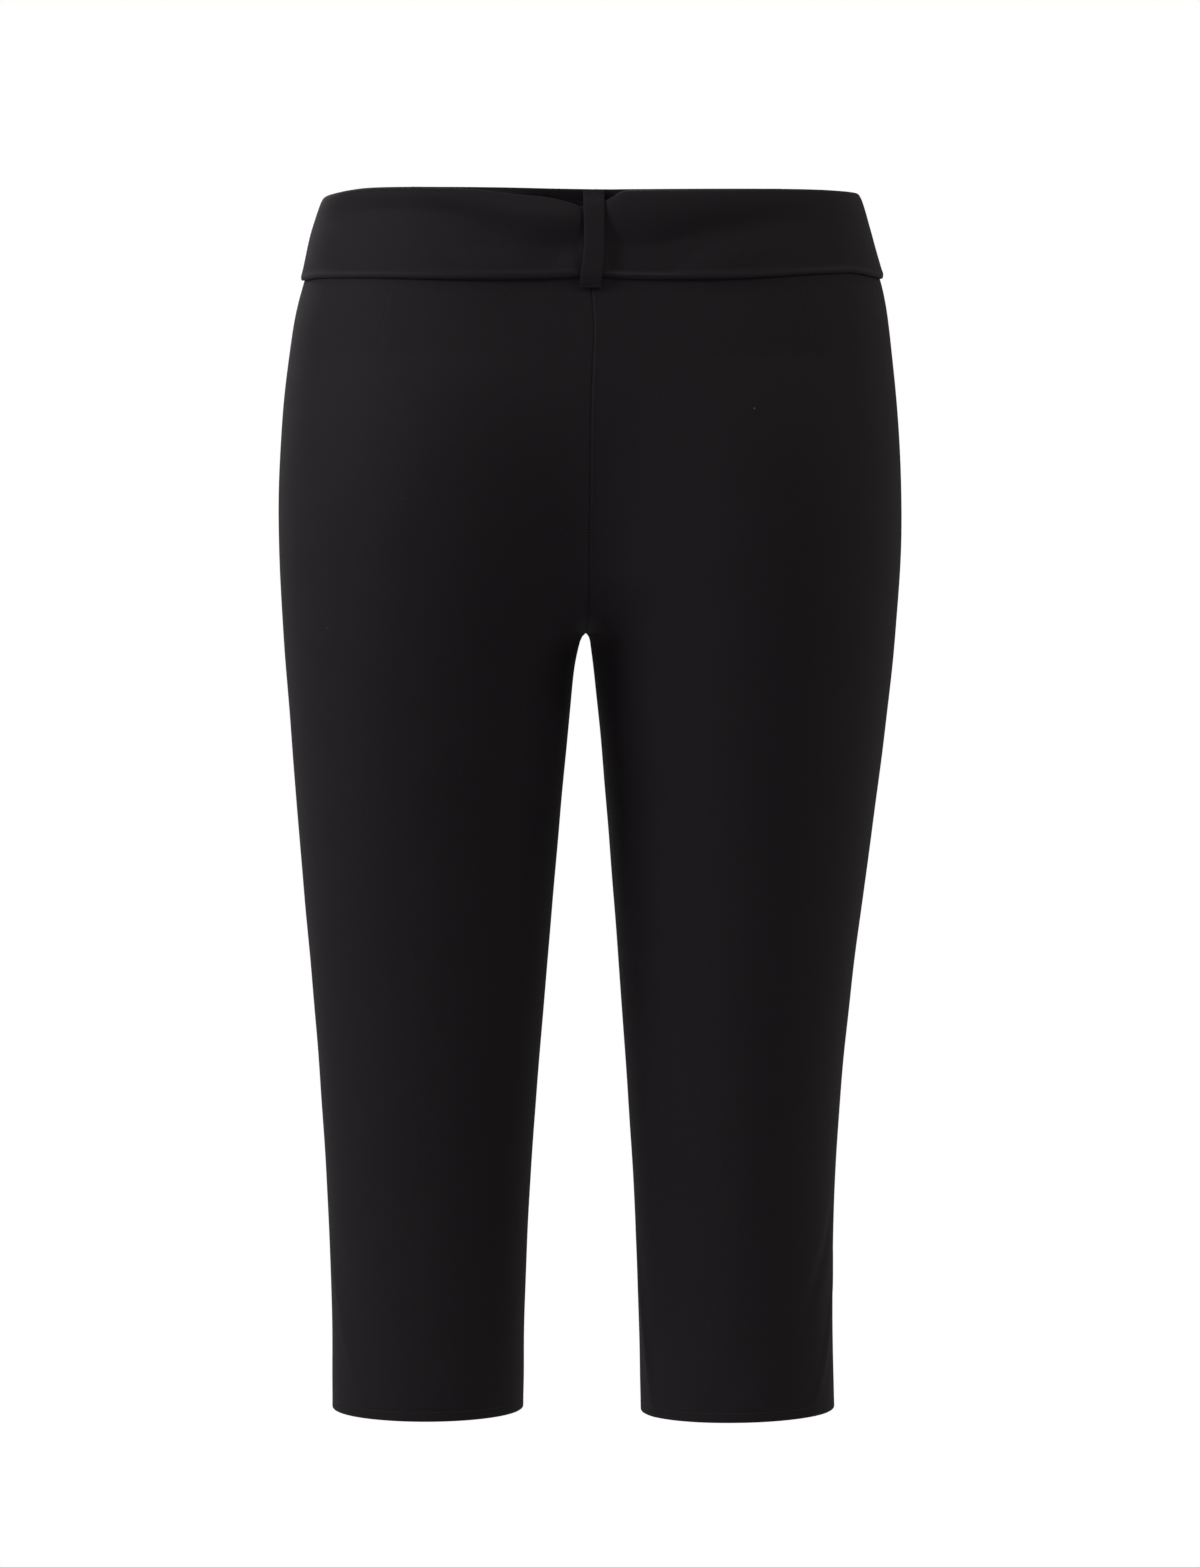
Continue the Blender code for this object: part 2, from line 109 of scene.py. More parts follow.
# Outline at each drop: x of the left and right side seams, and y of the seat side and of the front
LEVELS = make_table(
    "drop left right back front",
    (0.000, 0.1618, -0.1632, 0.1085, -0.1120),
    (0.015, 0.1661, -0.1674, 0.1112, -0.1141),
    (0.030, 0.1697, -0.1711, 0.1138, -0.1160),
    (0.052, 0.1755, -0.1782, 0.1176, -0.1184),
    (0.070, 0.1803, -0.1824, 0.1206, -0.1200),
    (0.098, 0.1850, -0.1860, 0.1248, -0.1217),
    (0.130, 0.1887, -0.1892, 0.1283, -0.1225),
    (0.165, 0.1912, -0.1914, 0.1301, -0.1213),
    (0.202, 0.1921, -0.1923, 0.1293, -0.1185),
    (0.240, 0.1911, -0.1910, 0.1256, -0.1142),
    (0.272, 0.1893, -0.1886, 0.1210, -0.1099),
    (0.302, 0.1871, -0.1858, 0.1159, -0.1052),
    (0.338, 0.1845, -0.1817, 0.1093, -0.0990),
    (0.376, 0.1816, -0.1769, 0.1022, -0.0924),
    (0.438, 0.1765, -0.1687, 0.0917, -0.0820),
    (0.500, 0.1711, -0.1610, 0.0830, -0.0730),
    (0.563, 0.1665, -0.1551, 0.0764, -0.0655),
    (0.625, 0.1629, -0.1515, 0.0718, -0.0595),
    (0.688, 0.1606, -0.1506, 0.0689, -0.0546),
    (0.754, 0.1602, -0.1519, 0.0670, -0.0510),
)

# x of the centre seam at each drop, and below it of the line midway between the legs
MIDDLES = make_table(
    "drop x",
    (0.000, -0.0018),
    (0.040, -0.0012),
    (0.061, -0.0012),
    (0.078, -0.0026),
    (0.094, -0.0024),
    (0.128, -0.0011),
    (0.165, -0.0005),
    (0.202, -0.0001),
    (0.240, 0.0004),
    (0.260, 0.0013),
    (0.275, 0.0029),
    (0.310, 0.0037),
    (0.376, 0.0039),
    (0.438, 0.0041),
    (0.563, 0.0049),
    (0.625, 0.0052),
    (0.754, 0.0050),
)

# Half the gap between the legs, from the foot of the arch down
GAPS = make_table(
    "drop half",
    (0.2765, 0.0031),
    (0.289, 0.0054),
    (0.310, 0.0078),
    (0.338, 0.0105),
    (0.376, 0.0140),
    (0.438, 0.0191),
    (0.500, 0.0240),
    (0.563, 0.0288),
    (0.625, 0.0328),
    (0.688, 0.0354),
    (0.754, 0.0367),
)

# How far the waist edge stands above its even line at the back: x of the place, and height
TOPS = make_table(
    "x height",
    (-0.1650, 0.0027),
    (-0.1570, 0.0015),
    (-0.1450, 0.0009),
    (-0.1000, 0.0003),
    (-0.0400, -0.0002),
    (-0.0060, -0.0003),
    (0.0240, 0.0002),
    (0.0600, 0.0009),
    (0.0960, 0.0014),
    (0.1260, 0.0018),
    (0.1440, 0.0013),
    (0.1530, 0.0004),
    (0.1650, -0.0001),
)

# The mesh of a panel: how many rows between its edges and how far its close rows and columns stand from them
RISE_ROWS = 108
LEG_ROWS = 150
ROWS_EVEN_FROM = 0.5
WAIST_STEPS = (0.0, 0.00008, 0.00022, 0.00042, 0.0007, 0.0012, 0.0020)
HEM_STEPS = (0.0120, 0.0104, 0.0094, 0.0088, 0.0083, 0.0078, 0.0072, 0.0067, 0.0063, 0.0060, 0.0057, 0.0053,
             0.0046, 0.0038, 0.0030, 0.0023, 0.0017, 0.0012, 0.0008, 0.0005, 0.00025, 0.0001, 0.0)
SEAM_STEPS = (0.0, 0.0002, 0.0004, 0.0007, 0.0010, 0.0014, 0.0019, 0.0025, 0.0032, 0.0041, 0.0053, 0.0069,
              0.0087, 0.0105)
DART_STEPS = (0.0002, 0.0004, 0.0007, 0.0011, 0.0016, 0.0023, 0.0034, 0.0050)
OPEN_COLUMNS = 52
FRONT_MORE_COLUMNS = 8
ACROSS_SAMPLES = 500
SEAM_SAMPLES = 3000

# Seams: the groove, the soft shoulder beside it, and the allowance pressed open behind it
GROOVE_WIDTH = 0.00065
SHOULDER_PLACE = 0.0015
SHOULDER_WIDTH = 0.0009
SHOULDER_HEIGHT = 0.00006
PROUD_SHOULDER_HEIGHT = 0.00026
PROUD_SHOULDER_FADE = 0.020
ALLOWANCE_SHOWS = 0.00010
ALLOWANCE_WIDTH = 0.0095
ALLOWANCE_EDGE = 0.0020
# Its thickness as a share of the cloth's, how sharply it thins at its cut edge, and its gap from the cloth
ALLOWANCE_SHARE = 0.8
ALLOWANCE_EDGE_POWER = 24
ALLOWANCE_THINS_TO = 0.999
ALLOWANCE_LEAST_THICKNESS = 0.0002
ALLOWANCE_GAP = 0.00012
# Its mesh: points across it, and the rows of its panel that it leaves free at the waist and takes in at the hem
ALLOWANCE_POINTS = 9
ALLOWANCE_FIRST_ROW = 3
ALLOWANCE_HEM_ROWS = 4

# The hem's step where its turning ends inside, its stitched trough, and the low roll between trough and edge
HEM_TURN_STEP = 0.0011
HEM_TROUGH_WIDTH = 0.0009
HEM_ROLL_SHARE = 0.4
HEM_ROLL_PLACE = 0.0030
HEM_ROLL_WIDTH = 0.0016
# The least thickness at a free edge, as a share of the wall's, and how much of the relief its inner face follows
EDGE_LEAST_SHARE = 0.03
PANEL_INSIDE_SHARE = 0.5

# One dart on each back panel: x of its line at the waist edge and at its tip, and how far the cloth that is
# pressed towards the centre lifts it on that side
DARTS = make_table(
    "side x_top drop_top x_tip drop_tip lift",
    (1, 0.1081, 0.0015, 0.1263, 0.0917, 0.00030),
    (-1, -0.1160, 0.0015, -0.1376, 0.0988, 0.00026),
)
DART_STEP = 0.0005
DART_GROOVE = 0.00012
DART_LIFT_WIDTH = 0.0075
DART_FADE = 0.0120
DIMPLE_DEPTH = 0.00022
DIMPLE_WIDTH = 0.0020
DIMPLE_STRETCH = 1.8

# Where the sash is drawn down beside the loop, the cloth at the waist edge sinks in behind it
SINK_DEPTH = 0.0060
SINK_DROP = 0.0090
SINK_HEIGHT = 0.0058
SINK_LEFT = (0.055, 0.022)
SINK_RIGHT = (-0.0215, -0.0120)

# Creases: where each starts and ends on its panel, how far its middle bows towards the side seam, and its
# height (negative for a trough) and width
CREASES = make_table(
    "side face across_top drop_top across_foot drop_foot bow height width",
    (1, 1, 0.970, 0.628, 0.690, 0.7560, 0.030, 0.00055, 0.0030),
    (1, 1, 0.880, 0.630, 0.610, 0.7560, 0.030, -0.00040, 0.0070),
    (-1, 1, 0.985, 0.655, 0.760, 0.7560, 0.020, 0.00100, 0.0036),
    (-1, 1, 0.960, 0.612, 0.700, 0.7000, 0.020, -0.00110, 0.0055),
    (-1, 1, 0.640, 0.690, 0.420, 0.7560, -0.020, -0.00090, 0.0120),
    (-1, 1, 0.030, 0.640, 0.180, 0.7600, -0.012, 0.00110, 0.0048),
    (1, 1, 0.360, 0.2700, 0.150, 0.3260, -0.010, 0.00090, 0.0060),
    (1, 1, 0.300, 0.2720, 0.110, 0.3220, -0.010, -0.00110, 0.0075),
    (1, 1, 0.430, 0.2080, 0.365, 0.2420, 0.000, -0.00030, 0.0030),
    (-1, 1, 0.060, 0.1500, 0.110, 0.2640, 0.000, -0.00022, 0.0040),
    (-1, 1, 0.330, 0.2660, 0.150, 0.3300, -0.010, -0.00050, 0.0090),
    (1, 1, 0.620, 0.4100, 0.360, 0.4620, 0.000, -0.00032, 0.0130),
    (-1, 1, 0.700, 0.4400, 0.430, 0.4020, 0.000, -0.00030, 0.0120),
    (1, -1, 0.900, 0.6400, 0.700, 0.7500, 0.020, 0.00080, 0.0045),
    (1, -1, 0.120, 0.6600, 0.250, 0.7560, 0.000, 0.00070, 0.0055),
    (1, -1, 0.420, 0.2480, 0.110, 0.2860, -0.020, 0.00080, 0.0070),
    (1, -1, 0.560, 0.2780, 0.140, 0.3160, -0.020, -0.00060, 0.0080),
    (1, -1, 0.480, 0.4700, 0.200, 0.4920, 0.000, -0.00060, 0.0100),
    (-1, -1, 0.920, 0.6500, 0.720, 0.7560, 0.020, 0.00090, 0.0040),
    (-1, -1, 0.140, 0.6400, 0.260, 0.7400, 0.000, 0.00060, 0.0060),
    (-1, -1, 0.380, 0.2520, 0.100, 0.2840, -0.020, 0.00070, 0.0065),
    (-1, -1, 0.520, 0.2860, 0.120, 0.3200, -0.020, -0.00070, 0.0085),
    (-1, -1, 0.560, 0.4900, 0.260, 0.4740, 0.000, -0.00050, 0.0110),
)
CREASE_SAMPLES = 40
CREASE_FADE_POWER = 0.8
UNEVEN_SEED = 7
UNEVEN_HEIGHT = 0.00010
UNEVEN_WAVES = 9
UNEVEN_SHORTEST = 0.030
UNEVEN_LONGEST = 0.120
UNEVEN_FADE = 0.025

# Sash. Its turns count quarters of the waist from the centre front, and its last quarter stands off to lap.
SASH_TOP_DROP = 0.0012
SASH_BOTTOM_DROP = 0.0545
SASH_THICKNESS = 0.0026
SASH_CROWN = 0.0010
SASH_LEAST_THICKNESS = 0.0015
SASH_LIFT_FROM = 3.66
SASH_END = 4.25
SASH_ROWS_OUTSIDE = 54
SASH_ROWS_INSIDE = 18
SASH_FOLD_POWER = 12
SASH_END_ROUND = 0.0016
SASH_END_LEAST_SHARE = 0.04
SASH_END_CALM = 0.020
# The mesh along it: how many stations, and how much closer they stand beside the loop and at its two ends
SASH_STATIONS = 520
SASH_SAMPLES = 4000
LOOP_CROWDING = 2.2
LOOP_CROWDING_REACH = 0.045
END_CROWDING = 30
# How much of the folds its inner face follows
SASH_INSIDE_SHARE = 0.7

# How the sash is drawn together beside the loop: distance from the loop towards the wearer's left, how far its
# top edge is pulled down and its bottom edge up, and how far the cloth stands off the pants
PINCHES = make_table(
    "x top_down bottom_up stand_off",
    (-0.1200, 0.0000, 0.0000, 0.0000),
    (-0.0600, 0.0000, 0.0000, 0.0014),
    (-0.0280, 0.0001, 0.0001, 0.0026),
    (-0.0180, 0.0007, 0.0003, 0.0020),
    (-0.0130, 0.0032, 0.0005, 0.0012),
    (-0.0065, 0.0066, 0.0007, 0.0003),
    (0.0000, 0.0092, 0.0008, 0.0000),
    (0.0065, 0.0100, 0.0008, 0.0003),
    (0.0110, 0.0090, 0.0006, 0.0016),
    (0.0180, 0.0069, 0.0003, 0.0026),
    (0.0300, 0.0046, 0.0001, 0.0030),
    (0.0450, 0.0035, 0.0000, 0.0027),
    (0.0560, 0.0025, 0.0000, 0.0022),
    (0.0700, 0.0011, 0.0000, 0.0016),
    (0.0900, 0.0002, 0.0000, 0.0008),
    (0.1200, 0.0000, 0.0000, 0.0000),
)

# Folds along the sash, by distance round the waist from the loop towards the wearer's left: a puff along its
# top, a long hollow under that, a roll along its bottom edge, and how far that edge wanders down
FOLDS = make_table(
    "reach puff puff_drop puff_width hollow hollow_drop hollow_width roll edge_down",
    (-0.4600, 0.0004, 0.0100, 0.0080, 0.0006, 0.0240, 0.0070, 0.0006, -0.0015),
    (-0.3600, 0.0008, 0.0090, 0.0080, 0.0010, 0.0250, 0.0080, 0.0006, -0.0007),
    (-0.2800, 0.0004, 0.0110, 0.0080, 0.0007, 0.0280, 0.0070, 0.0008, -0.0021),
    (-0.2150, 0.0002, 0.0060, 0.0080, 0.0000, 0.0180, 0.0060, 0.0003, -0.0009),
    (-0.1900, 0.0004, 0.0060, 0.0080, 0.0001, 0.0180, 0.0060, 0.0004, -0.0019),
    (-0.1660, 0.0006, 0.0060, 0.0080, 0.0003, 0.0185, 0.0060, 0.0004, -0.0037),
    (-0.1440, 0.0008, 0.0065, 0.0080, 0.0008, 0.0190, 0.0060, 0.0006, -0.0033),
    (-0.1150, 0.0012, 0.0066, 0.0100, 0.0020, 0.0210, 0.0085, 0.0010, -0.0018),
    (-0.0890, 0.0026, 0.0062, 0.0140, 0.0032, 0.0250, 0.0100, 0.0014, -0.0003),
    (-0.0640, 0.0038, 0.0060, 0.0190, 0.0044, 0.0300, 0.0120, 0.0020, 0.0004),
    (-0.0400, 0.0040, 0.0060, 0.0210, 0.0052, 0.0380, 0.0150, 0.0025, 0.0003),
    (-0.0220, 0.0040, 0.0060, 0.0200, 0.0050, 0.0370, 0.0150, 0.0026, 0.0001),
    (-0.0120, 0.0036, 0.0070, 0.0180, 0.0036, 0.0360, 0.0150, 0.0020, -0.0003),
    (-0.0050, 0.0016, 0.0150, 0.0100, 0.0008, 0.0330, 0.0120, 0.0006, -0.0005),
    (0.0050, 0.0018, 0.0170, 0.0100, 0.0010, 0.0350, 0.0100, 0.0006, -0.0005),
    (0.0095, 0.0032, 0.0180, 0.0095, 0.0028, 0.0360, 0.0090, 0.0018, -0.0002),
    (0.0220, 0.0042, 0.0175, 0.0085, 0.0048, 0.0380, 0.0100, 0.0027, 0.0002),
    (0.0330, 0.0042, 0.0160, 0.0085, 0.0050, 0.0370, 0.0110, 0.0028, 0.0005),
    (0.0450, 0.0036, 0.0140, 0.0085, 0.0046, 0.0340, 0.0120, 0.0027, 0.0007),
    (0.0630, 0.0030, 0.0100, 0.0085, 0.0044, 0.0300, 0.0140, 0.0024, 0.0008),
    (0.0820, 0.0028, 0.0055, 0.0090, 0.0046, 0.0265, 0.0150, 0.0020, 0.0007),
    (0.1000, 0.0026, 0.0030, 0.0095, 0.0036, 0.0225, 0.0135, 0.0016, 0.0004),
    (0.1380, 0.0024, 0.0020, 0.0100, 0.0024, 0.0180, 0.0100, 0.0009, -0.0003),
    (0.1800, 0.0016, 0.0020, 0.0100, 0.0014, 0.0170, 0.0085, 0.0006, -0.0011),
    (0.2150, 0.0002, 0.0060, 0.0080, 0.0000, 0.0150, 0.0070, 0.0002, -0.0003),
    (0.2800, 0.0006, 0.0090, 0.0080, 0.0010, 0.0250, 0.0080, 0.0006, -0.0019),
    (0.3600, 0.0005, 0.0100, 0.0080, 0.0008, 0.0220, 0.0070, 0.0008, -0.0009),
    (0.4600, 0.0004, 0.0100, 0.0080, 0.0006, 0.0240, 0.0070, 0.0006, -0.0015),
)
ROLL_PLACE = 0.0026
ROLL_WIDTH = 0.0017
# A painted highlight along the bottom fold, lighter yarn colour where light catches its roll: height above the fold,
# width and strength
FOLD_HIGHLIGHT_HEIGHT = 0.0028
FOLD_HIGHLIGHT_WIDTH = 0.0022
PAINTED_FOLD_HIGHLIGHT = 1.2

# Belt loop
LOOP_WIDTH = 0.0126
LOOP_THICKNESS = 0.0015
LOOP_BOTTOM_DROP = 0.0604
LOOP_TAIL = 0.0035
LOOP_X_TOP = -0.0024
LOOP_STEPS = 90
LOOP_FOLD_STEPS = 24
LOOP_TAIL_STEPS = 12
LOOP_SECTION_POINTS = 28
LOOP_EDGE_POWER = 5
LOOP_FACE_POWER = 2.6
LOOP_CROWN = 0.00012
# Its foot's corners are rounded over this height and drawn in by this share of it
LOOP_FOOT_ROUND = 0.0022
LOOP_FOOT_SHARE = 0.45
# At both ends the last section and the one before it are thinner, by these shares
LOOP_END_SHARES = (0.45, 0.85)
# Its path at each drop: how much of the way out it has come on its way over the sash, and then still is
LOOP_RISE = ((0.0012, 0.0), (0.0040, 0.10), (0.0070, 0.48), (0.0100, 0.86), (0.0140, 1.0), (0.0220, 1.12),
             (0.0300, 1.15), (0.0380, 1.12))
LOOP_FALL = ((0.0470, 1.00), (0.0525, 0.80), (0.0562, 0.40))
# x of its middle and how much wider it is at each drop
LOOP_BENDS = make_table(
    "drop x wider",
    (0.0000, -0.0024, 0.0002),
    (0.0180, -0.0027, 0.0000),
    (0.0340, -0.0029, -0.0004),
    (0.0460, -0.0021, 0.0002),
    (0.0540, -0.0011, 0.0006),
    (0.0604, -0.0005, 0.0006),
)

# Sewing thread. How far stitches lie off the cloth and how far their ends dip are in radii of the thread.
HEM_STITCH_SHOWS = 0.00155
HEM_STITCH_LIFT = 0.55
HEM_STITCH_DIP = 1.6
SEAT_STITCH_PITCH = 0.0019
SEAT_STITCH_SPAN = 0.0011
SEAT_STITCH_DROPS = (0.118, 0.226)
SEAT_STITCH_LIFT = 1.2
SEAT_STITCH_DIP = -0.8
THREAD_SIDES = 6
THREAD_RINGS = 6
THREAD_END_THINNING = 0.85
THREAD_END_POWER = 6
THREAD_DIP_POWER = 4

# Knit: the slant of its loops, how the relief is shared between loops and ribs, and a course as a share of a wale
LOOP_SLANT = 1.1
LOOP_RELIEF = 0.6
RIB_RELIEF = 0.4
COURSE_SHARE = 0.8
# Its yarn: how much the fibre and the wide blotches vary its shade, its roughness and the specks of lint on it
FIBRE_SHARE = 0.8
BLOTCH_SHADE = 0.25
KNIT_ROUGHNESS = 0.72
KNIT_ROUGHNESS_SPREAD = 0.25
LINT_ABOVE = 0.72
LINT_SIZE = 0.034
LINT_COLOUR = (0.10, 0.095, 0.10, 1.0)
THREAD_SHADE = 0.6

# Stage
CAMERA_PLACE = Vector((-0.0062, 4.2, -0.09))
CAMERA_TARGET = Vector((-0.0062, 0.0, -0.3654))
CAMERA_VIEW_HEIGHT = 0.97154
SENSOR = 36.0
FLOOR_RADIUS = 3.4
FLOOR_RINGS = 24
FLOOR_SIDES = 96
FLOOR_TONES = (0.80, 0.84)
FLOOR_FADE = (0.9, 2.8)
# Soft lights: place, width and height, the setting that holds the power, and colour
LIGHTS = make_table(
    "name place size power colour",
    ("key", (3.4, 1.4, 1.4), (1.4, 1.8), "key_power", (1.0, 0.98, 1.0)),
    ("left_side", (2.4, 0.0, 0.5), (0.9, 1.6), "side_power", (0.98, 0.98, 1.0)),
    ("fill", (0.4, 4.4, -0.5), (2.0, 1.6), "fill_power", (1.0, 0.98, 1.0)),
    ("overhead", (0.4, 0.8, 3.6), (1.6, 1.6), "top_power", (1.0, 0.99, 1.0)),
    ("right_back", (-3.0, 2.0, 2.2), (1.6, 1.6), "right_power", (1.0, 0.96, 0.93)),
    ("rim", (-2.6, -0.5, 0.2), (0.9, 1.8), "rim_power", (1.0, 0.93, 0.88)),
    ("front", (0.8, -3.4, 1.2), (2.4, 2.0), "front_power", (1.0, 0.99, 1.0)),
)


# ---------------------------------------------------------------- tables and curves


def ease(t):
    t = np.clip(t, 0.0, 1.0)
    return t * t * (3 - 2 * t)


def bump_shape(distance, width):
    return np.exp(-((distance / width) ** 2))


def rounded(share):
    """The height of a quarter circle on the way in from an edge: 0 at the edge, and 1 from a share of 1 on."""
    return np.sqrt(1 - (1 - np.clip(share, 0, 1)) ** 2)


def column(table, name, place):
    """The named column at these places along a table, on a smooth curve through its rows."""
    key = np.array([row[0] for row in table])
    value = np.array([getattr(row, name) for row in table])
    n = np.arange(len(key))
    low, high = np.maximum(n - 1, 0), np.minimum(n + 1, len(key) - 1)
    slope = (value[high] - value[low]) / (key[high] - key[low])
    place = np.clip(place, key[0], key[-1])
    i = np.clip(np.searchsorted(key, place) - 1, 0, len(key) - 2)
    step = key[i + 1] - key[i]
    t = (place - key[i]) / step
    ends = value[i] * (1 + 2 * t) * (1 - t) ** 2 + value[i + 1] * t * t * (3 - 2 * t)
    return ends + step * (slope[i] * t * (1 - t) ** 2 - slope[i + 1] * t * t * (1 - t))


def all_columns(table, place):
    """Every column but the first at these places along a table, by name."""
    return {name: column(table, name, place) for name in table[0]._fields[1:]}


def spline(table, name, place):
    """The named column at these places, on the smoothest curve through the table's rows."""
    key = np.array([row[0] for row in table])
    value = np.array([getattr(row, name) for row in table])
    step, slope = np.diff(key), np.diff(value) / np.diff(key)
    system = np.eye(len(key))
    bend = np.zeros(len(key))
    for n in range(1, len(key) - 1):
        system[n, n - 1 : n + 2] = step[n - 1], 2 * (step[n - 1] + step[n]), step[n]
        bend[n] = 6 * (slope[n] - slope[n - 1])
    bend = np.linalg.solve(system, bend)
    place = np.clip(place, key[0], key[-1])
    i = np.clip(np.searchsorted(key, place) - 1, 0, len(key) - 2)
    t = (place - key[i]) / step[i]
    curved = (t**3 - t) * bend[i + 1] + ((1 - t) ** 3 - (1 - t)) * bend[i]
    return value[i] + (value[i + 1] - value[i]) * t + curved * step[i] ** 2 / 6


def lengths(points):
    """Distance along a line of points, or along each row of a grid of them, from its first point."""
    steps = np.linalg.norm(np.diff(points, axis=-2), axis=-1)
    start = np.zeros(steps.shape[:-1] + (1,))
    return np.concatenate((start, np.cumsum(steps, axis=-1)), axis=-1)


def unit(vectors):
    return vectors / np.maximum(np.linalg.norm(vectors, axis=-1, keepdims=True), 1e-12)


# ---------------------------------------------------------------- the body of the pants


def leg_gap(drop):
    """Half the gap between the legs, which opens as a round arch just below the crotch."""
    opened = np.sqrt(np.clip((drop - CROTCH_DROP) / ARCH_HEIGHT, 0, 1))
    return spline(GAPS, "half", drop) * opened


def rise(face, drop, aside):
    """How far the body reaches out towards the seat or belly: 0 at the crotch and 1 above the curve. aside is how
    far it is to the centre seam."""
    lead = RISE_LEAD * (1 - np.exp(-aside / RISE_LEAD_REACH))
    curve = np.where(face > 0, RISE_CURVE_BACK, RISE_CURVE_FRONT)
    power = np.where(face > 0, RISE_POWER_BACK, RISE_POWER_FRONT)
    power = RISE_POWER_ASIDE + (power - RISE_POWER_ASIDE) * np.exp(-aside / RISE_POWER_REACH)
    height = (CROTCH_DROP + lead - drop) / (curve + lead)
    # In front the curve runs out softly into the flat of the belly above it
    soft = np.where(face > 0, 0.0, RISE_SOFT_FRONT) * np.clip(height, 0, 1)
    short = np.clip((1 - height + np.hypot(1 - height, soft)) / 2, 0, 1)
    cleft = np.where(face > 0, CLEFT_SHARE, 0.0) * ease((drop - CLEFT_FROM) / (CLEFT_TO - CLEFT_FROM))
    return (1 - cleft) * (1 - short**power) ** (1 / power)


def edge_dip(face, across, x):
    """How far the waist edge dips: hardly at all behind, more at the side seams and most in front."""
    top = spline(TOPS, "height", x)
    to_side = across**FRONT_DIP_POWER
    behind = SIDE_DIP * across**SIDE_DIP_POWER - top
    ahead = FRONT_DIP + (SIDE_DIP - FRONT_DIP) * to_side - top * to_side
    return np.where(face > 0, behind, ahead)


def skin(side, face, across, drop):
    """Points of the pants' plain outer surface. side is 1 on the wearer's left and -1 on the right, face is 1
    behind and -1 in front, and across runs from 0 at the centre or inner leg seam to 1 at the side seam."""
    side, face, across, drop = np.broadcast_arrays(side, face, across, drop)
    middle = spline(MIDDLES, "x", drop)
    outside = np.where(side > 0, spline(LEVELS, "left", drop), spline(LEVELS, "right", drop))
    width = np.abs(outside - middle)
    back, front = spline(LEVELS, "back", drop), spline(LEVELS, "front", drop)
    half = width / 2
    round_spread = (1 - np.cos(math.pi * across)) / 2
    flat_spread = np.sin(math.pi / 2 * across)
    reach = rise(face, drop, width * round_spread)
    # A leg is an ellipse. Above the crotch it is cut off at the centre seam, and the cut end is rounded over.
    notch = half * (1 - np.sqrt(1 - reach * reach))
    out = width * (round_spread + (flat_spread - round_spread) * reach)
    along = np.sqrt(notch**2 + out**2 * (1 - (notch / width) ** 2))
    deep = np.sqrt(np.maximum(0.0, 1 - ((along - half) / half) ** 2))
    # Below the crotch the legs part in a rounded arch, which soon becomes a plain gap beside a whole ellipse. Away
    # from the inner leg seam the arch opens more slowly, so that the thigh has no crease at the crotch's height.
    gap = leg_gap(drop)
    below = drop - CROTCH_DROP
    near_seam = bump_shape(out, ARCH_REACH)
    opened = gap**2 * (near_seam + (1 - near_seam) * ease(below / ARCH_SPREAD))
    arched = np.sqrt(opened + out**2 * (1 - opened / width**2))
    apart = gap + out * (1 - gap / width)
    out = arched + (apart - arched) * ease(below / ARCH_FADE)
    x = middle + side * out
    y = (back + front) / 2 + face * (back - front) / 2 * deep
    dip = edge_dip(face, across, x) * np.maximum(0.0, 1 - drop / DIP_FADE) ** 2
    sag = np.where(side < 0, HEM_SAG, 0.0) * np.maximum(0.0, 1 - out / width) ** HEM_SAG_POWER
    sag = sag * ease((drop - HEM_SAG_FROM) / (HEM_DROP - HEM_SAG_FROM))
    return np.stack((x, y, -drop - dip - sag), axis=-1)


def waist_normal(side, face, across, drop):
    """The direction straight out of the plain surface, anywhere above the rise curve."""
    step_across, step_down = 1e-4, 2e-4
    along = skin(side, face, np.minimum(across + step_across, 1), drop)
    along = along - skin(side, face, np.maximum(across - step_across, 0), drop)
    down = skin(side, face, across, drop + step_down)
    down = down - skin(side, face, across, np.maximum(drop - step_down, 0))
    centre, seam = across <= 0, across >= 1
    along[centre] = np.stack((side[centre], 0 * side[centre], 0 * side[centre]), axis=-1)
    down[centre, 0] = 0
    along[seam] = np.stack((0 * face[seam], -face[seam], 0 * face[seam]), axis=-1)
    return unit(np.cross(along, down) * (side * face)[..., None])


# ---------------------------------------------------------------- meshes


def grid_faces(rows, columns, first=0, close_rows=False, close_columns=False):
    """Quads over a grid of points that are numbered row by row."""
    row = np.arange(rows if close_rows else rows - 1)[:, None]
    place = np.arange(columns if close_columns else columns - 1)[None, :]
    beside = (place + 1) % columns
    this, after = row * columns, (row + 1) % rows * columns
    corners = np.broadcast_arrays(this + place, this + beside, after + beside, after + place)
    return np.stack(corners, axis=-1).reshape(-1, 4) + first


def add_mesh(name, points, faces, material, uv=None):
    """Makes a smooth object of these points and faces. uv is in metres of cloth, one pair for each point."""
    mesh = bpy.data.meshes.new(name)
    mesh.from_pydata(points.tolist(), [], [list(face) for face in faces])
    if uv is not None:
        corner = np.empty(len(mesh.loops), np.int32)
        mesh.loops.foreach_get("vertex_index", corner)
        layer = mesh.uv_layers.new(name="ClothUV")
        layer.data.foreach_set("uv", uv[corner].astype(np.float32).ravel())
    mesh.validate()
    mesh.shade_smooth()
    mesh.materials.append(material)
    made = bpy.data.objects.new(name, mesh)
    bpy.context.scene.collection.objects.link(made)
    return made


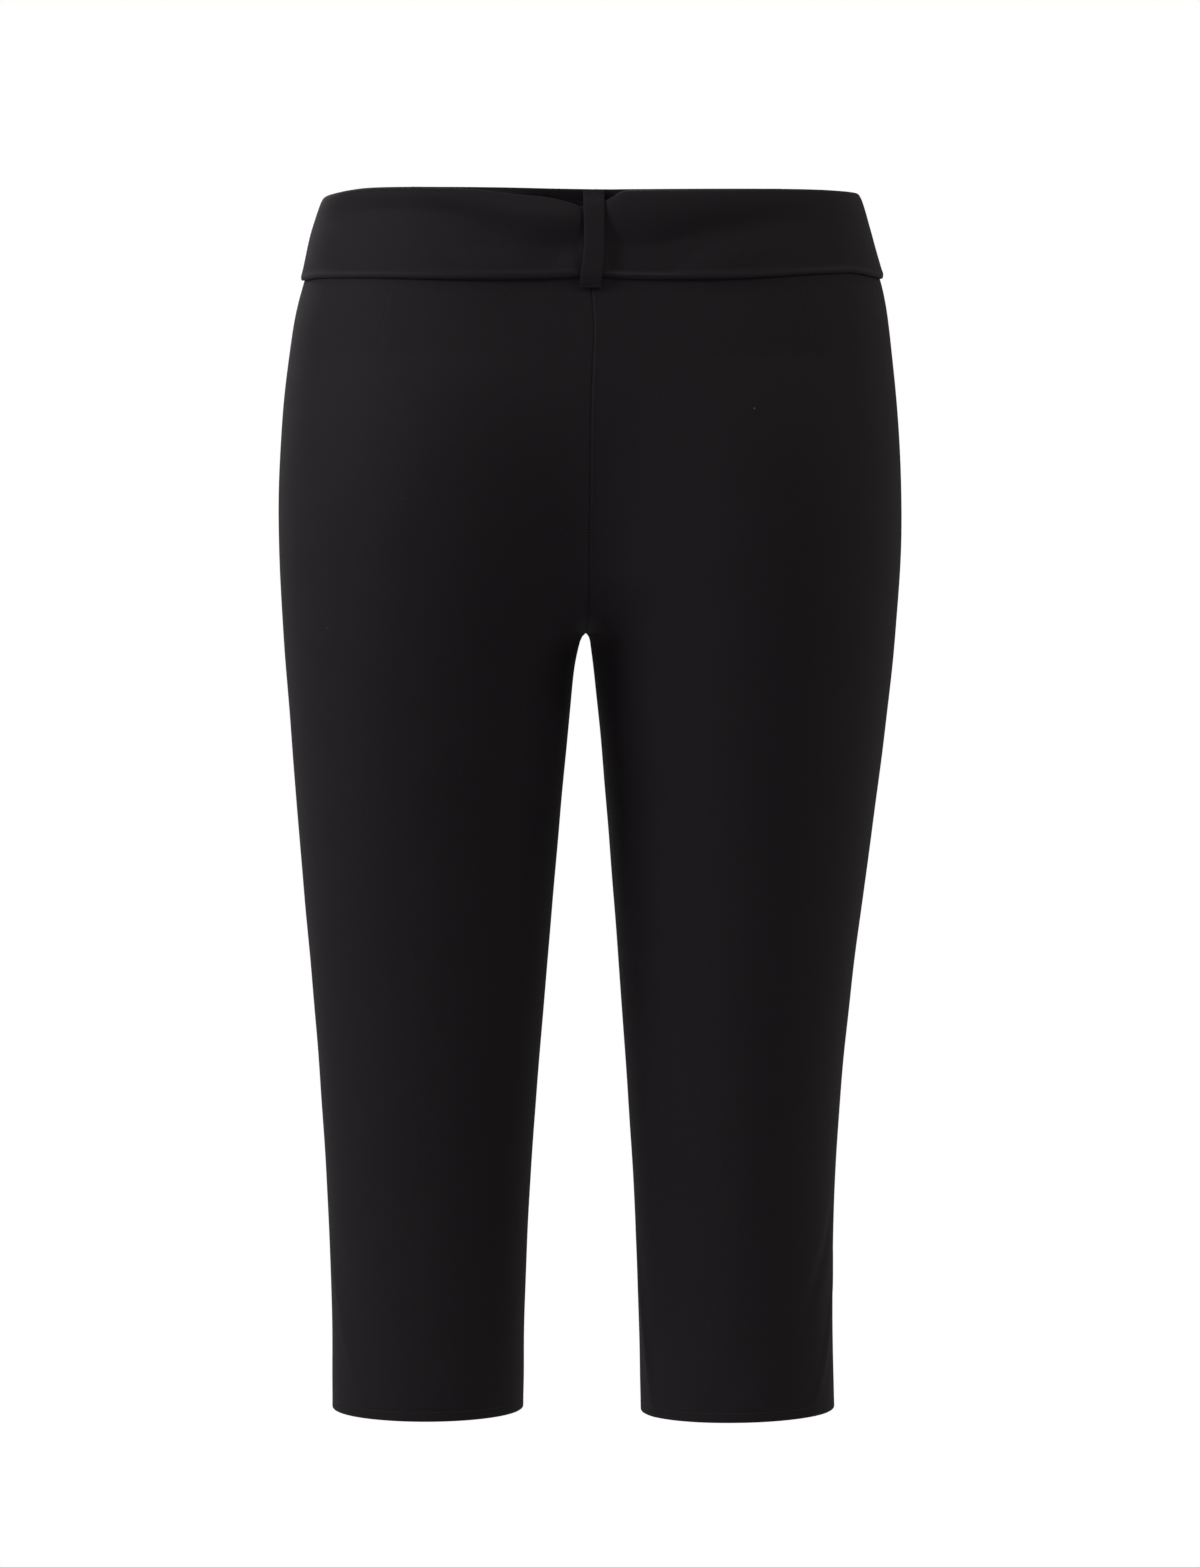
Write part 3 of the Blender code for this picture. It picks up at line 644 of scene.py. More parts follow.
def add_shell(name, outer, inner, turned, material, uv):
    """A thin closed sheet between two grids of points. turned says that the grids run the other way round."""
    rows, columns = outer.shape[:2]
    count = rows * columns
    front = grid_faces(rows, columns)
    back = grid_faces(rows, columns, first=count)[:, ::-1]
    number = np.arange(count).reshape(rows, columns)
    rim = np.concatenate((number[0, :-1], number[:-1, -1], number[-1, :0:-1], number[:0:-1, 0]))
    after = np.roll(rim, -1)
    edge = np.stack((after, rim, rim + count, after + count), axis=-1)
    faces = np.concatenate((front, back, edge))
    points = np.concatenate((outer.reshape(-1, 3), inner.reshape(-1, 3)))
    uv = np.tile(uv.reshape(-1, 2), (2, 1))
    return add_mesh(name, points, faces[:, ::-1] if turned else faces, material, uv)


def add_tube(name, rings, material, uv):
    """A closed tube through rings of points, with both its ends capped."""
    stations, points = rings.shape[:2]
    faces = grid_faces(stations, points, close_columns=True).tolist()
    faces.append(list(range(points - 1, -1, -1)))
    faces.append([(stations - 1) * points + n for n in range(points)])
    return add_mesh(name, rings.reshape(-1, 3), faces, material, uv.reshape(-1, 2))


# ---------------------------------------------------------------- panels


def seam_drops(side, face, start, end, count, warp):
    """Drops that step evenly along the centre or inner leg seam, which turns level at the crotch."""
    drops = start + (end - start) * warp(np.linspace(0, 1, SEAM_SAMPLES))
    length = lengths(skin(side, face, 0.0, drops))
    return np.interp(np.linspace(0, length[-1], count + 1), length, drops)


def panel_rows(side, face):
    """The drop of each row along the centre and inner leg seams, and on the open part of the panel."""
    top = WAIST_EDGE_DROP + np.array(WAIST_STEPS)
    hem = HEM_DROP - np.array(HEM_STEPS)
    above = seam_drops(side, face, top[-1], CROTCH_DROP, RISE_ROWS, lambda t: 1 - (1 - t) ** 4)
    below = seam_drops(side, face, CROTCH_DROP, hem[0], LEG_ROWS, lambda t: t**4)
    at_seam = np.concatenate((top[:-1], above, below[1:-1], hem))
    even_above = np.linspace(top[-1], CROTCH_DROP, RISE_ROWS + 1)
    even_below = np.linspace(CROTCH_DROP, hem[0], LEG_ROWS + 1)
    even = np.concatenate((top[:-1], even_above, even_below[1:-1], hem))
    return at_seam, even


def fan(at_seam, even, across):
    return at_seam + (even - at_seam) * ease(across / ROWS_EVEN_FROM)


def fill(start, end, count):
    """Even steps between two distances on each row, without its ends."""
    return start[:, None] + (end - start)[:, None] * np.linspace(0, 1, count + 2)[None, 1:-1]


def dart_place(side, x, drop, length):
    """How far from the centre seam the dart's line lies on each row. Below its tip the line runs straight on."""
    dart = next(d for d in DARTS if d.side == side)
    share = np.clip((drop - dart.drop_top) / (dart.drop_tip - dart.drop_top), 0, 1)
    past = np.abs(x) - np.abs(dart.x_top + (dart.x_tip - dart.x_top) * share)
    place = np.array([np.interp(0.0, p, l) for p, l in zip(past, length)])
    tip_row = int(np.argmin(np.abs(drop[:, -1] - dart.drop_tip)))
    place[tip_row:] = length[tip_row:, -1] * place[tip_row] / length[tip_row, -1]
    return place


def seam_relief(distance, depth, proud):
    groove = -depth * bump_shape(distance, GROOVE_WIDTH)
    shoulder = proud * bump_shape(distance - SHOULDER_PLACE, SHOULDER_WIDTH)
    allowance = ALLOWANCE_SHOWS * (1 - ease((distance - ALLOWANCE_WIDTH) / ALLOWANCE_EDGE + 0.5))
    return groove + shoulder + allowance


def dart_relief(side, drop, from_dart):
    """A low step down at the stitched line, where the cloth inside is pressed towards the centre seam. It fades out
    towards the tip, which ends in a small dimple."""
    dart = next(d for d in DARTS if d.side == side)
    strength = ease((dart.drop_tip - drop) / DART_FADE)
    inward = -from_dart
    step = ease(inward / DART_STEP / 2 + 0.5) * bump_shape(np.maximum(inward, 0), DART_LIFT_WIDTH)
    groove = -DART_GROOVE * bump_shape(inward + DART_STEP, DART_STEP)
    dimple = np.hypot(from_dart, (drop - dart.drop_tip) / DIMPLE_STRETCH)
    return strength * (dart.lift * step + groove) - DIMPLE_DEPTH * bump_shape(dimple, DIMPLE_WIDTH)


def sink_relief(x, from_waist):
    """The hollow at the waist edge on both sides of the belt loop."""
    beside = ease((SINK_LEFT[0] - x) / (SINK_LEFT[0] - SINK_LEFT[1]))
    beside = beside * ease((x - SINK_RIGHT[0]) / (SINK_RIGHT[1] - SINK_RIGHT[0]))
    return -SINK_DEPTH * beside * bump_shape(from_waist - SINK_DROP, SINK_HEIGHT)


def crease_relief(side, face, points):
    """All the creases of one panel, each fading out to its ends."""
    height = np.zeros(points.shape[:-1])
    for crease in CREASES:
        if (crease.side, crease.face) != (side, face):
            continue
        t = np.linspace(0, 1, CREASE_SAMPLES)
        across = crease.across_top + (crease.across_foot - crease.across_top) * t
        across = np.clip(across + crease.bow * np.sin(math.pi * t), 0, 1)
        drop = np.minimum(crease.drop_top + (crease.drop_foot - crease.drop_top) * t, HEM_DROP)
        line = skin(side, face, across, drop)
        apart = np.linalg.norm(points[..., None, :] - line, axis=-1)
        nearest = apart.argmin(axis=-1)
        distance = apart.min(axis=-1)
        fade = np.sin(math.pi * t[nearest]) ** CREASE_FADE_POWER
        height += crease.height * bump_shape(distance, crease.width) * fade
    return height


def unevenness(points):
    """Low waves in all directions, as in any worn cloth. They fade out at the waist and at the hems."""
    random = np.random.default_rng(UNEVEN_SEED)
    inside = ease(-points[..., 2] / UNEVEN_FADE) * ease((HEM_DROP + points[..., 2]) / UNEVEN_FADE)
    height = np.zeros(points.shape[:-1])
    for _ in range(UNEVEN_WAVES):
        direction = unit(random.normal(size=3))
        wavelength = random.uniform(UNEVEN_SHORTEST, UNEVEN_LONGEST)
        height += np.sin(points @ direction * 2 * math.pi / wavelength + random.uniform(0, 2 * math.pi))
    return height * inside * UNEVEN_HEIGHT / math.sqrt(UNEVEN_WAVES)


class PanelCloth:
    """One panel's outer surface, as a grid of points from the waist edge to the hem and from the centre or inner
    leg seam to the side seam."""

    def __init__(self, side, face, sizes):
        self.side, self.face, self.sizes = side, face, sizes
        at_seam, even = panel_rows(side, face)
        samples = np.linspace(0, 1, ACROSS_SAMPLES)
        drop = fan(at_seam[:, None], even[:, None], samples[None, :])
        plain = skin(side, face, samples[None, :], drop)
        length = lengths(plain)
        steps = np.array(SEAM_STEPS)
        total = length[:, -1]
        near_centre = np.broadcast_to(steps, (len(total), len(steps)))
        near_side = total[:, None] - near_centre[:, ::-1]
        start, end = near_centre[:, -1], near_side[:, 0]
        dart = None
        if face > 0:
            dart = dart_place(side, plain[..., 0], drop, length)
            beside = np.array(DART_STEPS)
            on_dart = dart[:, None] + np.concatenate((-beside[::-1], [0.0], beside))[None, :]
            share = float(np.mean((dart - start) / (end - start)))
            before = round(OPEN_COLUMNS * share)
            to_dart = fill(start, on_dart[:, 0], before)
            past_dart = fill(on_dart[:, -1], end, OPEN_COLUMNS - before)
            middle = (to_dart, on_dart, past_dart)
        else:
            middle = (fill(start, end, OPEN_COLUMNS + FRONT_MORE_COLUMNS),)
        self.from_centre = np.concatenate((near_centre, *middle, near_side), axis=1)
        self.from_side = total[:, None] - self.from_centre
        self.across = np.array([np.interp(s, l, samples) for s, l in zip(self.from_centre, length)])
        self.across[:, 0], self.across[:, -1] = 0.0, 1.0
        self.drop = fan(at_seam[:, None], even[:, None], self.across)
        self.plain = skin(side, face, self.across, self.drop)
        self.normal = self.normals()
        self.from_dart = None if dart is None else self.from_centre - dart[:, None]
        self.height = self.relief()
        if face > 0:
            sunk = sink_relief(self.plain[..., 0], self.drop - WAIST_EDGE_DROP)
            self.plain = self.plain + self.normal * sunk[..., None]

    def normals(self):
        along = np.gradient(self.plain, axis=1)
        down = np.gradient(self.plain, axis=0)
        above = self.drop[:, 0] < CROTCH_DROP
        along[above, 0] = (self.side, 0, 0)
        down[above, 0, 0] = 0
        along[~above, 0] = (0, self.face, 0)
        along[:, -1] = (0, -self.face, 0)
        return unit(np.cross(along, down) * self.side * self.face)

    def relief(self):
        sizes = self.sizes
        proud = SHOULDER_HEIGHT
        if self.face > 0 and self.side < 0:
            proud = PROUD_SHOULDER_HEIGHT
        above = ease((CROTCH_DROP - self.drop) / PROUD_SHOULDER_FADE)
        proud = SHOULDER_HEIGHT + (proud - SHOULDER_HEIGHT) * above
        height = seam_relief(self.from_centre, sizes.seam_depth, proud)
        height += seam_relief(self.from_side, sizes.seam_depth, SHOULDER_HEIGHT)
        if self.from_dart is not None:
            height += dart_relief(self.side, self.drop, self.from_dart)
        height += crease_relief(self.side, self.face, self.plain)
        height += unevenness(self.plain)
        from_hem = HEM_DROP - self.drop
        height -= sizes.hem_stitch_depth * bump_shape(from_hem - sizes.hem_stitch_height, HEM_TROUGH_WIDTH)
        roll = bump_shape(from_hem - HEM_ROLL_PLACE, HEM_ROLL_WIDTH)
        return height + HEM_ROLL_SHARE * sizes.hem_stitch_depth * roll

    def walls(self):
        """The outer and inner points of the wall. Its free edges are rounded, and the hem is turned up inside."""
        sizes = self.sizes
        from_hem = HEM_DROP - self.drop
        from_waist = self.drop - WAIST_EDGE_DROP
        turned = 1 - ease((from_hem - sizes.hem_turn) / HEM_TURN_STEP + 0.5)
        thickness = sizes.cloth_thickness + (sizes.hem_thickness - sizes.cloth_thickness) * turned
        radius = thickness / 2
        edge = rounded(np.minimum(from_hem, from_waist) / radius)
        pinched = radius * (1 - np.maximum(edge, EDGE_LEAST_SHARE))
        outer = self.height - pinched
        inner = PANEL_INSIDE_SHARE * self.height - thickness + pinched
        return self.plain + self.normal * outer[..., None], self.plain + self.normal * inner[..., None]

    def uv(self):
        """Cloth coordinates in metres, with the wales running down the middle of the panel."""
        middle = np.array([np.interp(0.5, a, s) for a, s in zip(self.across, self.from_centre)])
        centre_column = self.plain.shape[1] // 2
        down = lengths(self.plain[:, centre_column])
        across = self.from_centre - middle[:, None]
        return np.stack((across, np.broadcast_to(-down[:, None], across.shape)), axis=-1)


PANEL_NAMES = {(1, 1): "back_left", (-1, 1): "back_right", (1, -1): "front_left", (-1, -1): "front_right"}
made_panels = {}


def panel(side, face, sizes):
    """Each panel's surface is worked out once, and the sewing on it reads it again."""
    if (side, face) not in made_panels:
        made_panels[side, face] = PanelCloth(side, face, sizes)
    return made_panels[side, face]


def finish_piece(made, slot, *replaced):
    """The piece moves with the pants' one body and stands for these solids. Its slot is not used."""
    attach(made, "root")
    if replaced:
        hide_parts(*replaced)
    return made


def build_panels(sizes, colours):
    cloth = cloth_material("double_knit", colours.cloth, sizes)
    for (side, face), name in PANEL_NAMES.items():
        surface = panel(side, face, sizes)
        outer, inner = surface.walls()
        made = add_shell(name + "_cloth", outer, inner, side * face < 0, cloth, surface.uv())
        finish_piece(made, "knit", name)


# ---------------------------------------------------------------- sash


def waist_place(turn):
    """Side, face and across at these turns of the waist: 0 is the centre front, 1 the left side seam, 2 the centre
    back, 3 the right side seam and 4 the centre front again."""
    quarter = np.floor(turn).astype(int) % 4
    part = turn - np.floor(turn)
    side = np.where(quarter < 2, 1, -1)
    face = np.where((quarter == 1) | (quarter == 2), 1, -1)
    return side, face, np.where(quarter % 2 == 0, part, 1 - part)


def sash_turns():
    """Stations along the sash, closer together beside the loop and at its two ends: their turns, and how far each
    lies from the loop towards the wearer's left and from the nearer end."""
    samples = np.linspace(0, SASH_END, SASH_SAMPLES)
    side, face, across = waist_place(samples)
    line = skin(side, face, across, SASH_BOTTOM_DROP / 2)
    length = lengths(line)
    at_loop = np.interp(2.0, samples, length)
    at_start, at_end = bump_shape(length, SASH_END_ROUND), bump_shape(length[-1] - length, SASH_END_ROUND)
    crowding = 1 + LOOP_CROWDING * bump_shape(length - at_loop, LOOP_CROWDING_REACH)
    crowding += END_CROWDING * at_start + END_CROWDING * at_end
    share = np.concatenate(([0], np.cumsum((crowding[1:] + crowding[:-1]) / 2 * np.diff(length))))
    turns = np.interp(np.linspace(0, share[-1], SASH_STATIONS), share, samples)
    place = np.interp(turns, samples, length)
    return turns, at_loop - place, np.minimum(place, length[-1] - place)


def build_sash(sizes, colours):
    turn, reach, from_end = sash_turns()
    side, face, across = (a[:, None] for a in waist_place(turn))
    beside = skin(side, face, across, SASH_BOTTOM_DROP / 2)[..., 0] - LOOP_X_TOP
    pinch = {name: np.where(face > 0, value, 0.0) for name, value in all_columns(PINCHES, beside).items()}
    reach = reach[:, None]
    fold = all_columns(FOLDS, reach)
    top = SASH_TOP_DROP + pinch["top_down"]
    bottom = SASH_BOTTOM_DROP - pinch["bottom_up"] + fold["edge_down"]
    lapped = ease((turn - SASH_LIFT_FROM) / (4 - SASH_LIFT_FROM))[:, None]
    lift = (SASH_THICKNESS + SASH_CROWN + SEAM_GAP) * lapped
    edge = rounded(from_end / SASH_END_ROUND)[:, None]
    edge_share = np.maximum(edge, SASH_END_LEAST_SHARE)
    calmed = ease(from_end / SASH_END_CALM)[:, None]

    def surface(down, outside):
        """Points of the sash's outer or inner face, at these shares of its height."""
        drop = top + (bottom - top) * down
        base = skin(side, face, across, drop)
        normal = waist_normal(*np.broadcast_arrays(side, face, across, drop))
        round_over = np.sqrt(np.maximum(0, 1 - np.abs(2 * down - 1) ** SASH_FOLD_POWER))
        half = SASH_THICKNESS / 2 * round_over * edge_share
        middle = SEAM_GAP + SASH_THICKNESS / 2 + lift + pinch["stand_off"] * np.sin(math.pi * down)
        puff = fold["puff"] * bump_shape(drop - fold["puff_drop"], fold["puff_width"])
        hollow = -fold["hollow"] * bump_shape(drop - fold["hollow_drop"], fold["hollow_width"])
        roll = fold["roll"] * bump_shape(bottom - drop - ROLL_PLACE, ROLL_WIDTH)
        shape = (puff + hollow + roll + unevenness(base)) * calmed * round_over
        inner = np.maximum(SEAM_GAP + lift, middle + SASH_INSIDE_SHARE * shape - half)
        if not outside:
            return base + normal * inner[..., None]
        crown = SASH_CROWN * np.sin(math.pi * down) ** 2 * edge
        least = SASH_LEAST_THICKNESS * round_over * edge_share
        outer = np.maximum(inner + least, middle + half + crown + shape)
        return base + normal * outer[..., None]

    turn_down = np.linspace(0, math.pi, SASH_ROWS_OUTSIDE)
    outside = surface((1 - np.cos(turn_down))[None, :] / 2, True)
    turn_up = np.linspace(0, math.pi, SASH_ROWS_INSIDE + 2)[1:-1]
    inside = surface((1 + np.cos(turn_up))[None, :] / 2, False)
    rings = np.concatenate((outside, inside), axis=1)
    girth = lengths(rings)
    from_fold = girth[:, SASH_ROWS_OUTSIDE - 1 : SASH_ROWS_OUTSIDE] - girth
    uv = np.stack((np.broadcast_to(reach, girth.shape), from_fold), axis=-1)
    # The sash's cloth carries a painted highlight along its bottom fold
    cloth = cloth_material("sash_double_knit", colours.sash, sizes, PAINTED_FOLD_HIGHLIGHT)
    made = add_tube("sash_cloth", rings, cloth, uv)
    finish_piece(made, "sash_knit", "sash")


# ---------------------------------------------------------------- belt loop


def loop_line(proud):
    """The drops along the loop's middle line and its distances off the pants, from its sewn top end down over the
    sash, round its bottom fold and up to the tucked end behind."""
    half = LOOP_THICKNESS / 2
    over = SEAM_GAP + SASH_THICKNESS + SASH_CROWN + SEAM_GAP + half + proud
    behind = SEAM_GAP + half
    fold_radius = half + SEAM_GAP / 2
    fold_centre = LOOP_BOTTOM_DROP - half - fold_radius
    front = behind + 2 * fold_radius
    knots = [(drop, behind + (over - behind) * share) for drop, share in LOOP_RISE]
    knots += [(drop, front + (over - front) * share) for drop, share in LOOP_FALL]
    knots.append((fold_centre, front))
    down = np.linspace(knots[0][0], fold_centre, LOOP_STEPS)
    angle = np.linspace(0, math.pi, LOOP_FOLD_STEPS)[1:]
    tail = np.linspace(fold_centre, fold_centre - LOOP_TAIL, LOOP_TAIL_STEPS)[1:]
    drop = np.concatenate((down, fold_centre + fold_radius * np.sin(angle), tail))
    off_down = column(make_table("drop off", *knots), "off", down)
    off_fold = behind + fold_radius * (1 + np.cos(angle))
    return drop, np.concatenate((off_down, off_fold, np.full(len(tail), behind)))


def squarer(wave, power):
    """An ellipse's sine or cosine turned into that of a squarer oval."""
    return np.sign(wave) * np.abs(wave) ** (2 / power)


def build_loop(sizes, colours):
    """A flat turned strap with soft edges, slightly bent towards its sewn foot."""
    drop, off = loop_line(sizes.loop_proud)
    one = np.ones_like(drop)
    base = skin(one, one, 0 * drop, drop)
    base[:, 0] = column(LOOP_BENDS, "x", drop)
    centre = base + waist_normal(one, one, 0 * drop, drop) * off[:, None]
    run = unit(np.gradient(centre, axis=0))
    wide = unit(np.array([1.0, 0.0, 0.0]) - run * run[:, :1])
    out = unit(np.cross(run, wide))
    width = LOOP_WIDTH / 2 + column(LOOP_BENDS, "wider", drop) / 2
    angle = np.linspace(0, 2 * math.pi, LOOP_SECTION_POINTS, endpoint=False)
    # The strap's section is a flat oval, squarer than an ellipse, and bows out a little along its middle
    across = squarer(np.cos(angle), LOOP_EDGE_POWER)
    thick = squarer(np.sin(angle), LOOP_FACE_POWER)
    crown = LOOP_CROWN * (1 - across**2)
    pinch = np.ones_like(drop)
    pinch[:2], pinch[-2:] = LOOP_END_SHARES, LOOP_END_SHARES[::-1]
    # The foot's two corners are rounded off
    to_foot = (LOOP_BOTTOM_DROP - drop) / LOOP_FOOT_ROUND
    width = (width - LOOP_FOOT_ROUND * LOOP_FOOT_SHARE * (1 - rounded(to_foot)))[:, None]
    rings = centre[:, None] + wide[:, None] * (width * across)[..., None]
    rings = rings + out[:, None] * (LOOP_THICKNESS / 2 * pinch[:, None] * thick + crown)[..., None]
    uv = np.stack(np.broadcast_arrays(width * across, -lengths(centre)[:, None]), axis=-1)
    cloth = cloth_material("loop_double_knit", colours.sash, sizes)
    made = add_tube("belt_loop_cloth", rings, cloth, uv)
    finish_piece(made, "sash_knit", "belt_loop")


# ---------------------------------------------------------------- sewing


def build_allowances(sizes, colours):
    """The seam allowances, pressed open inside. Each lies against its own panel along one of its seams."""
    cloth = cloth_material("allowance_double_knit", colours.cloth, sizes)
    for (side, face), name in PANEL_NAMES.items():
        surface = panel(side, face, sizes)
        widths = np.linspace(0, ALLOWANCE_WIDTH, ALLOWANCE_POINTS)
        thinning = np.sqrt(1 - np.clip(widths / ALLOWANCE_WIDTH, 0, ALLOWANCE_THINS_TO) ** ALLOWANCE_EDGE_POWER)
        thickness = np.maximum(sizes.cloth_thickness * ALLOWANCE_SHARE * thinning, ALLOWANCE_LEAST_THICKNESS)
        near = -sizes.cloth_thickness - ALLOWANCE_GAP
        keep = slice(ALLOWANCE_FIRST_ROW, len(surface.drop) - len(HEM_STEPS) + ALLOWANCE_HEM_ROWS)
        uv = np.stack(np.broadcast_arrays(widths[None, :], -surface.drop[keep, :1]), axis=-1)
        for seam, order, distance in (("centre", 1, surface.from_centre), ("side", -1, surface.from_side)):

            def beside_seam(values):
                """These values of the panel at the allowance's own points."""
                rows = zip(distance[keep, ::order], values[keep, ::order])
                found = [[np.interp(widths, known, axis) for axis in row.T] for known, row in rows]
                return np.array(found).transpose(0, 2, 1)

            plain, normal = beside_seam(surface.plain), unit(beside_seam(surface.normal))
            outer = plain + normal * near
            inner = plain + normal * (near - thickness)[None, :, None]
            turned = (side * face * order) < 0
            made = add_shell(name + "_" + seam + "_allowance", outer, inner, turned, cloth, uv)
            finish_piece(made, "knit")


def thread_bars(centres, along, out, length, radius, dip):
    """Short stitches as round bars whose ends dip into the cloth, or stand up out of it."""
    t = np.linspace(-1, 1, THREAD_RINGS)
    angle = np.linspace(0, 2 * math.pi, THREAD_SIDES, endpoint=False)
    beside = unit(np.cross(along, out))
    girth = radius * np.sqrt(1 - THREAD_END_THINNING * t**THREAD_END_POWER)
    spine = centres[:, None] + along[:, None] * (t * length / 2)[None, :, None]
    spine = spine - out[:, None] * (dip * t**THREAD_DIP_POWER)[None, :, None]
    ring = spine[:, :, None] + girth[None, :, None, None] * (
        beside[:, None, None] * np.cos(angle)[None, None, :, None]
        + out[:, None, None] * np.sin(angle)[None, None, :, None]
    )
    count = THREAD_RINGS * THREAD_SIDES
    one = grid_faces(THREAD_RINGS, THREAD_SIDES, close_columns=True)
    faces = (one[None] + (np.arange(len(centres)) * count)[:, None, None]).reshape(-1, 4).tolist()
    caps = []
    for n in range(len(centres)):
        caps.append([n * count + k for k in range(THREAD_SIDES - 1, -1, -1)])
        caps.append([(n + 1) * count - THREAD_SIDES + k for k in range(THREAD_SIDES)])
    uv = np.broadcast_to((t * length / 2)[None, :, None], ring.shape[:3])
    uv = np.stack((uv, np.broadcast_to(angle[None, None, :] * radius, ring.shape[:3])), axis=-1)
    return ring.reshape(-1, 3), faces + caps, uv.reshape(-1, 2)


def spread(line, *carried, pitch):
    """Points every pitch along a line, and the same places in the arrays that go with it."""
    length = lengths(line)
    places = np.arange(pitch / 2, length[-1], pitch)
    return [
        np.stack([np.interp(places, length, values[:, axis]) for axis in range(3)], axis=-1)
        for values in (line, *carried)
    ]


def add_stitches(name, centres, along, out, span, lift, dip, sizes, material):
    """Stitches of this span at these places. lift and dip are in radii of the thread."""
    radius = sizes.thread_radius
    points, faces, uv = thread_bars(centres + out * radius * lift, along, out, span, radius, radius * dip)
    finish_piece(add_mesh(name, points, faces, material, uv), "knit")


def build_stitching(sizes, colours):
    thread = thread_material("sewing_thread", colours.thread)
    for side, side_name in ((1, "left"), (-1, "right")):
        line, normal = [], []
        for face, order in ((1, 1), (-1, -1)):
            surface = panel(side, face, sizes)
            row = int(np.argmin(np.abs(HEM_DROP - surface.drop[:, -1] - sizes.hem_stitch_height)))
            lifted = surface.plain[row] + surface.normal[row] * surface.height[row][:, None]
            line.append(lifted[::order][:-1])
            normal.append(surface.normal[row][::order][:-1])
        line, normal = np.concatenate(line), np.concatenate(normal)
        centres, out = spread(line, normal, pitch=sizes.hem_stitch_pitch)
        along = unit(np.gradient(centres, axis=0))
        add_stitches("hem_stitches_" + side_name, centres, along, unit(out), HEM_STITCH_SHOWS,
                     HEM_STITCH_LIFT, HEM_STITCH_DIP, sizes, thread)
    surface = panel(-1, 1, sizes)
    rows = (surface.drop[:, 0] > SEAT_STITCH_DROPS[0]) & (surface.drop[:, 0] < SEAT_STITCH_DROPS[1])
    seam = surface.plain[rows, 0] + surface.normal[rows, 0] * surface.height[rows, 0][:, None]
    centres, out = spread(seam, surface.normal[rows, 0], pitch=SEAT_STITCH_PITCH)
    along = np.broadcast_to(np.array([1.0, 0.0, 0.0]), centres.shape)
    add_stitches("seat_seam_stitches", centres, along, unit(out), SEAT_STITCH_SPAN,
                 SEAT_STITCH_LIFT, SEAT_STITCH_DIP, sizes, thread)


# ---------------------------------------------------------------- materials


def add_node(tree, kind, **settings):
    """A node with its settings. A setting that names a socket with spaces is written with underscores."""
    node = tree.nodes.new("ShaderNode" + kind)
    for name, value in settings.items():
        if hasattr(node, name):
            setattr(node, name, value)
        else:
            node.inputs[name.replace("_", " ")].default_value = value
    return node


def math_node(tree, operation, *values):
    """A Math node on sockets or plain numbers, giving its result."""
    node = tree.nodes.new("ShaderNodeMath")
    node.operation = operation
    for socket, value in zip(node.inputs, values):
        if isinstance(value, (int, float)):
            socket.default_value = value
        else:
            tree.links.new(value, socket)
    return node.outputs[0]


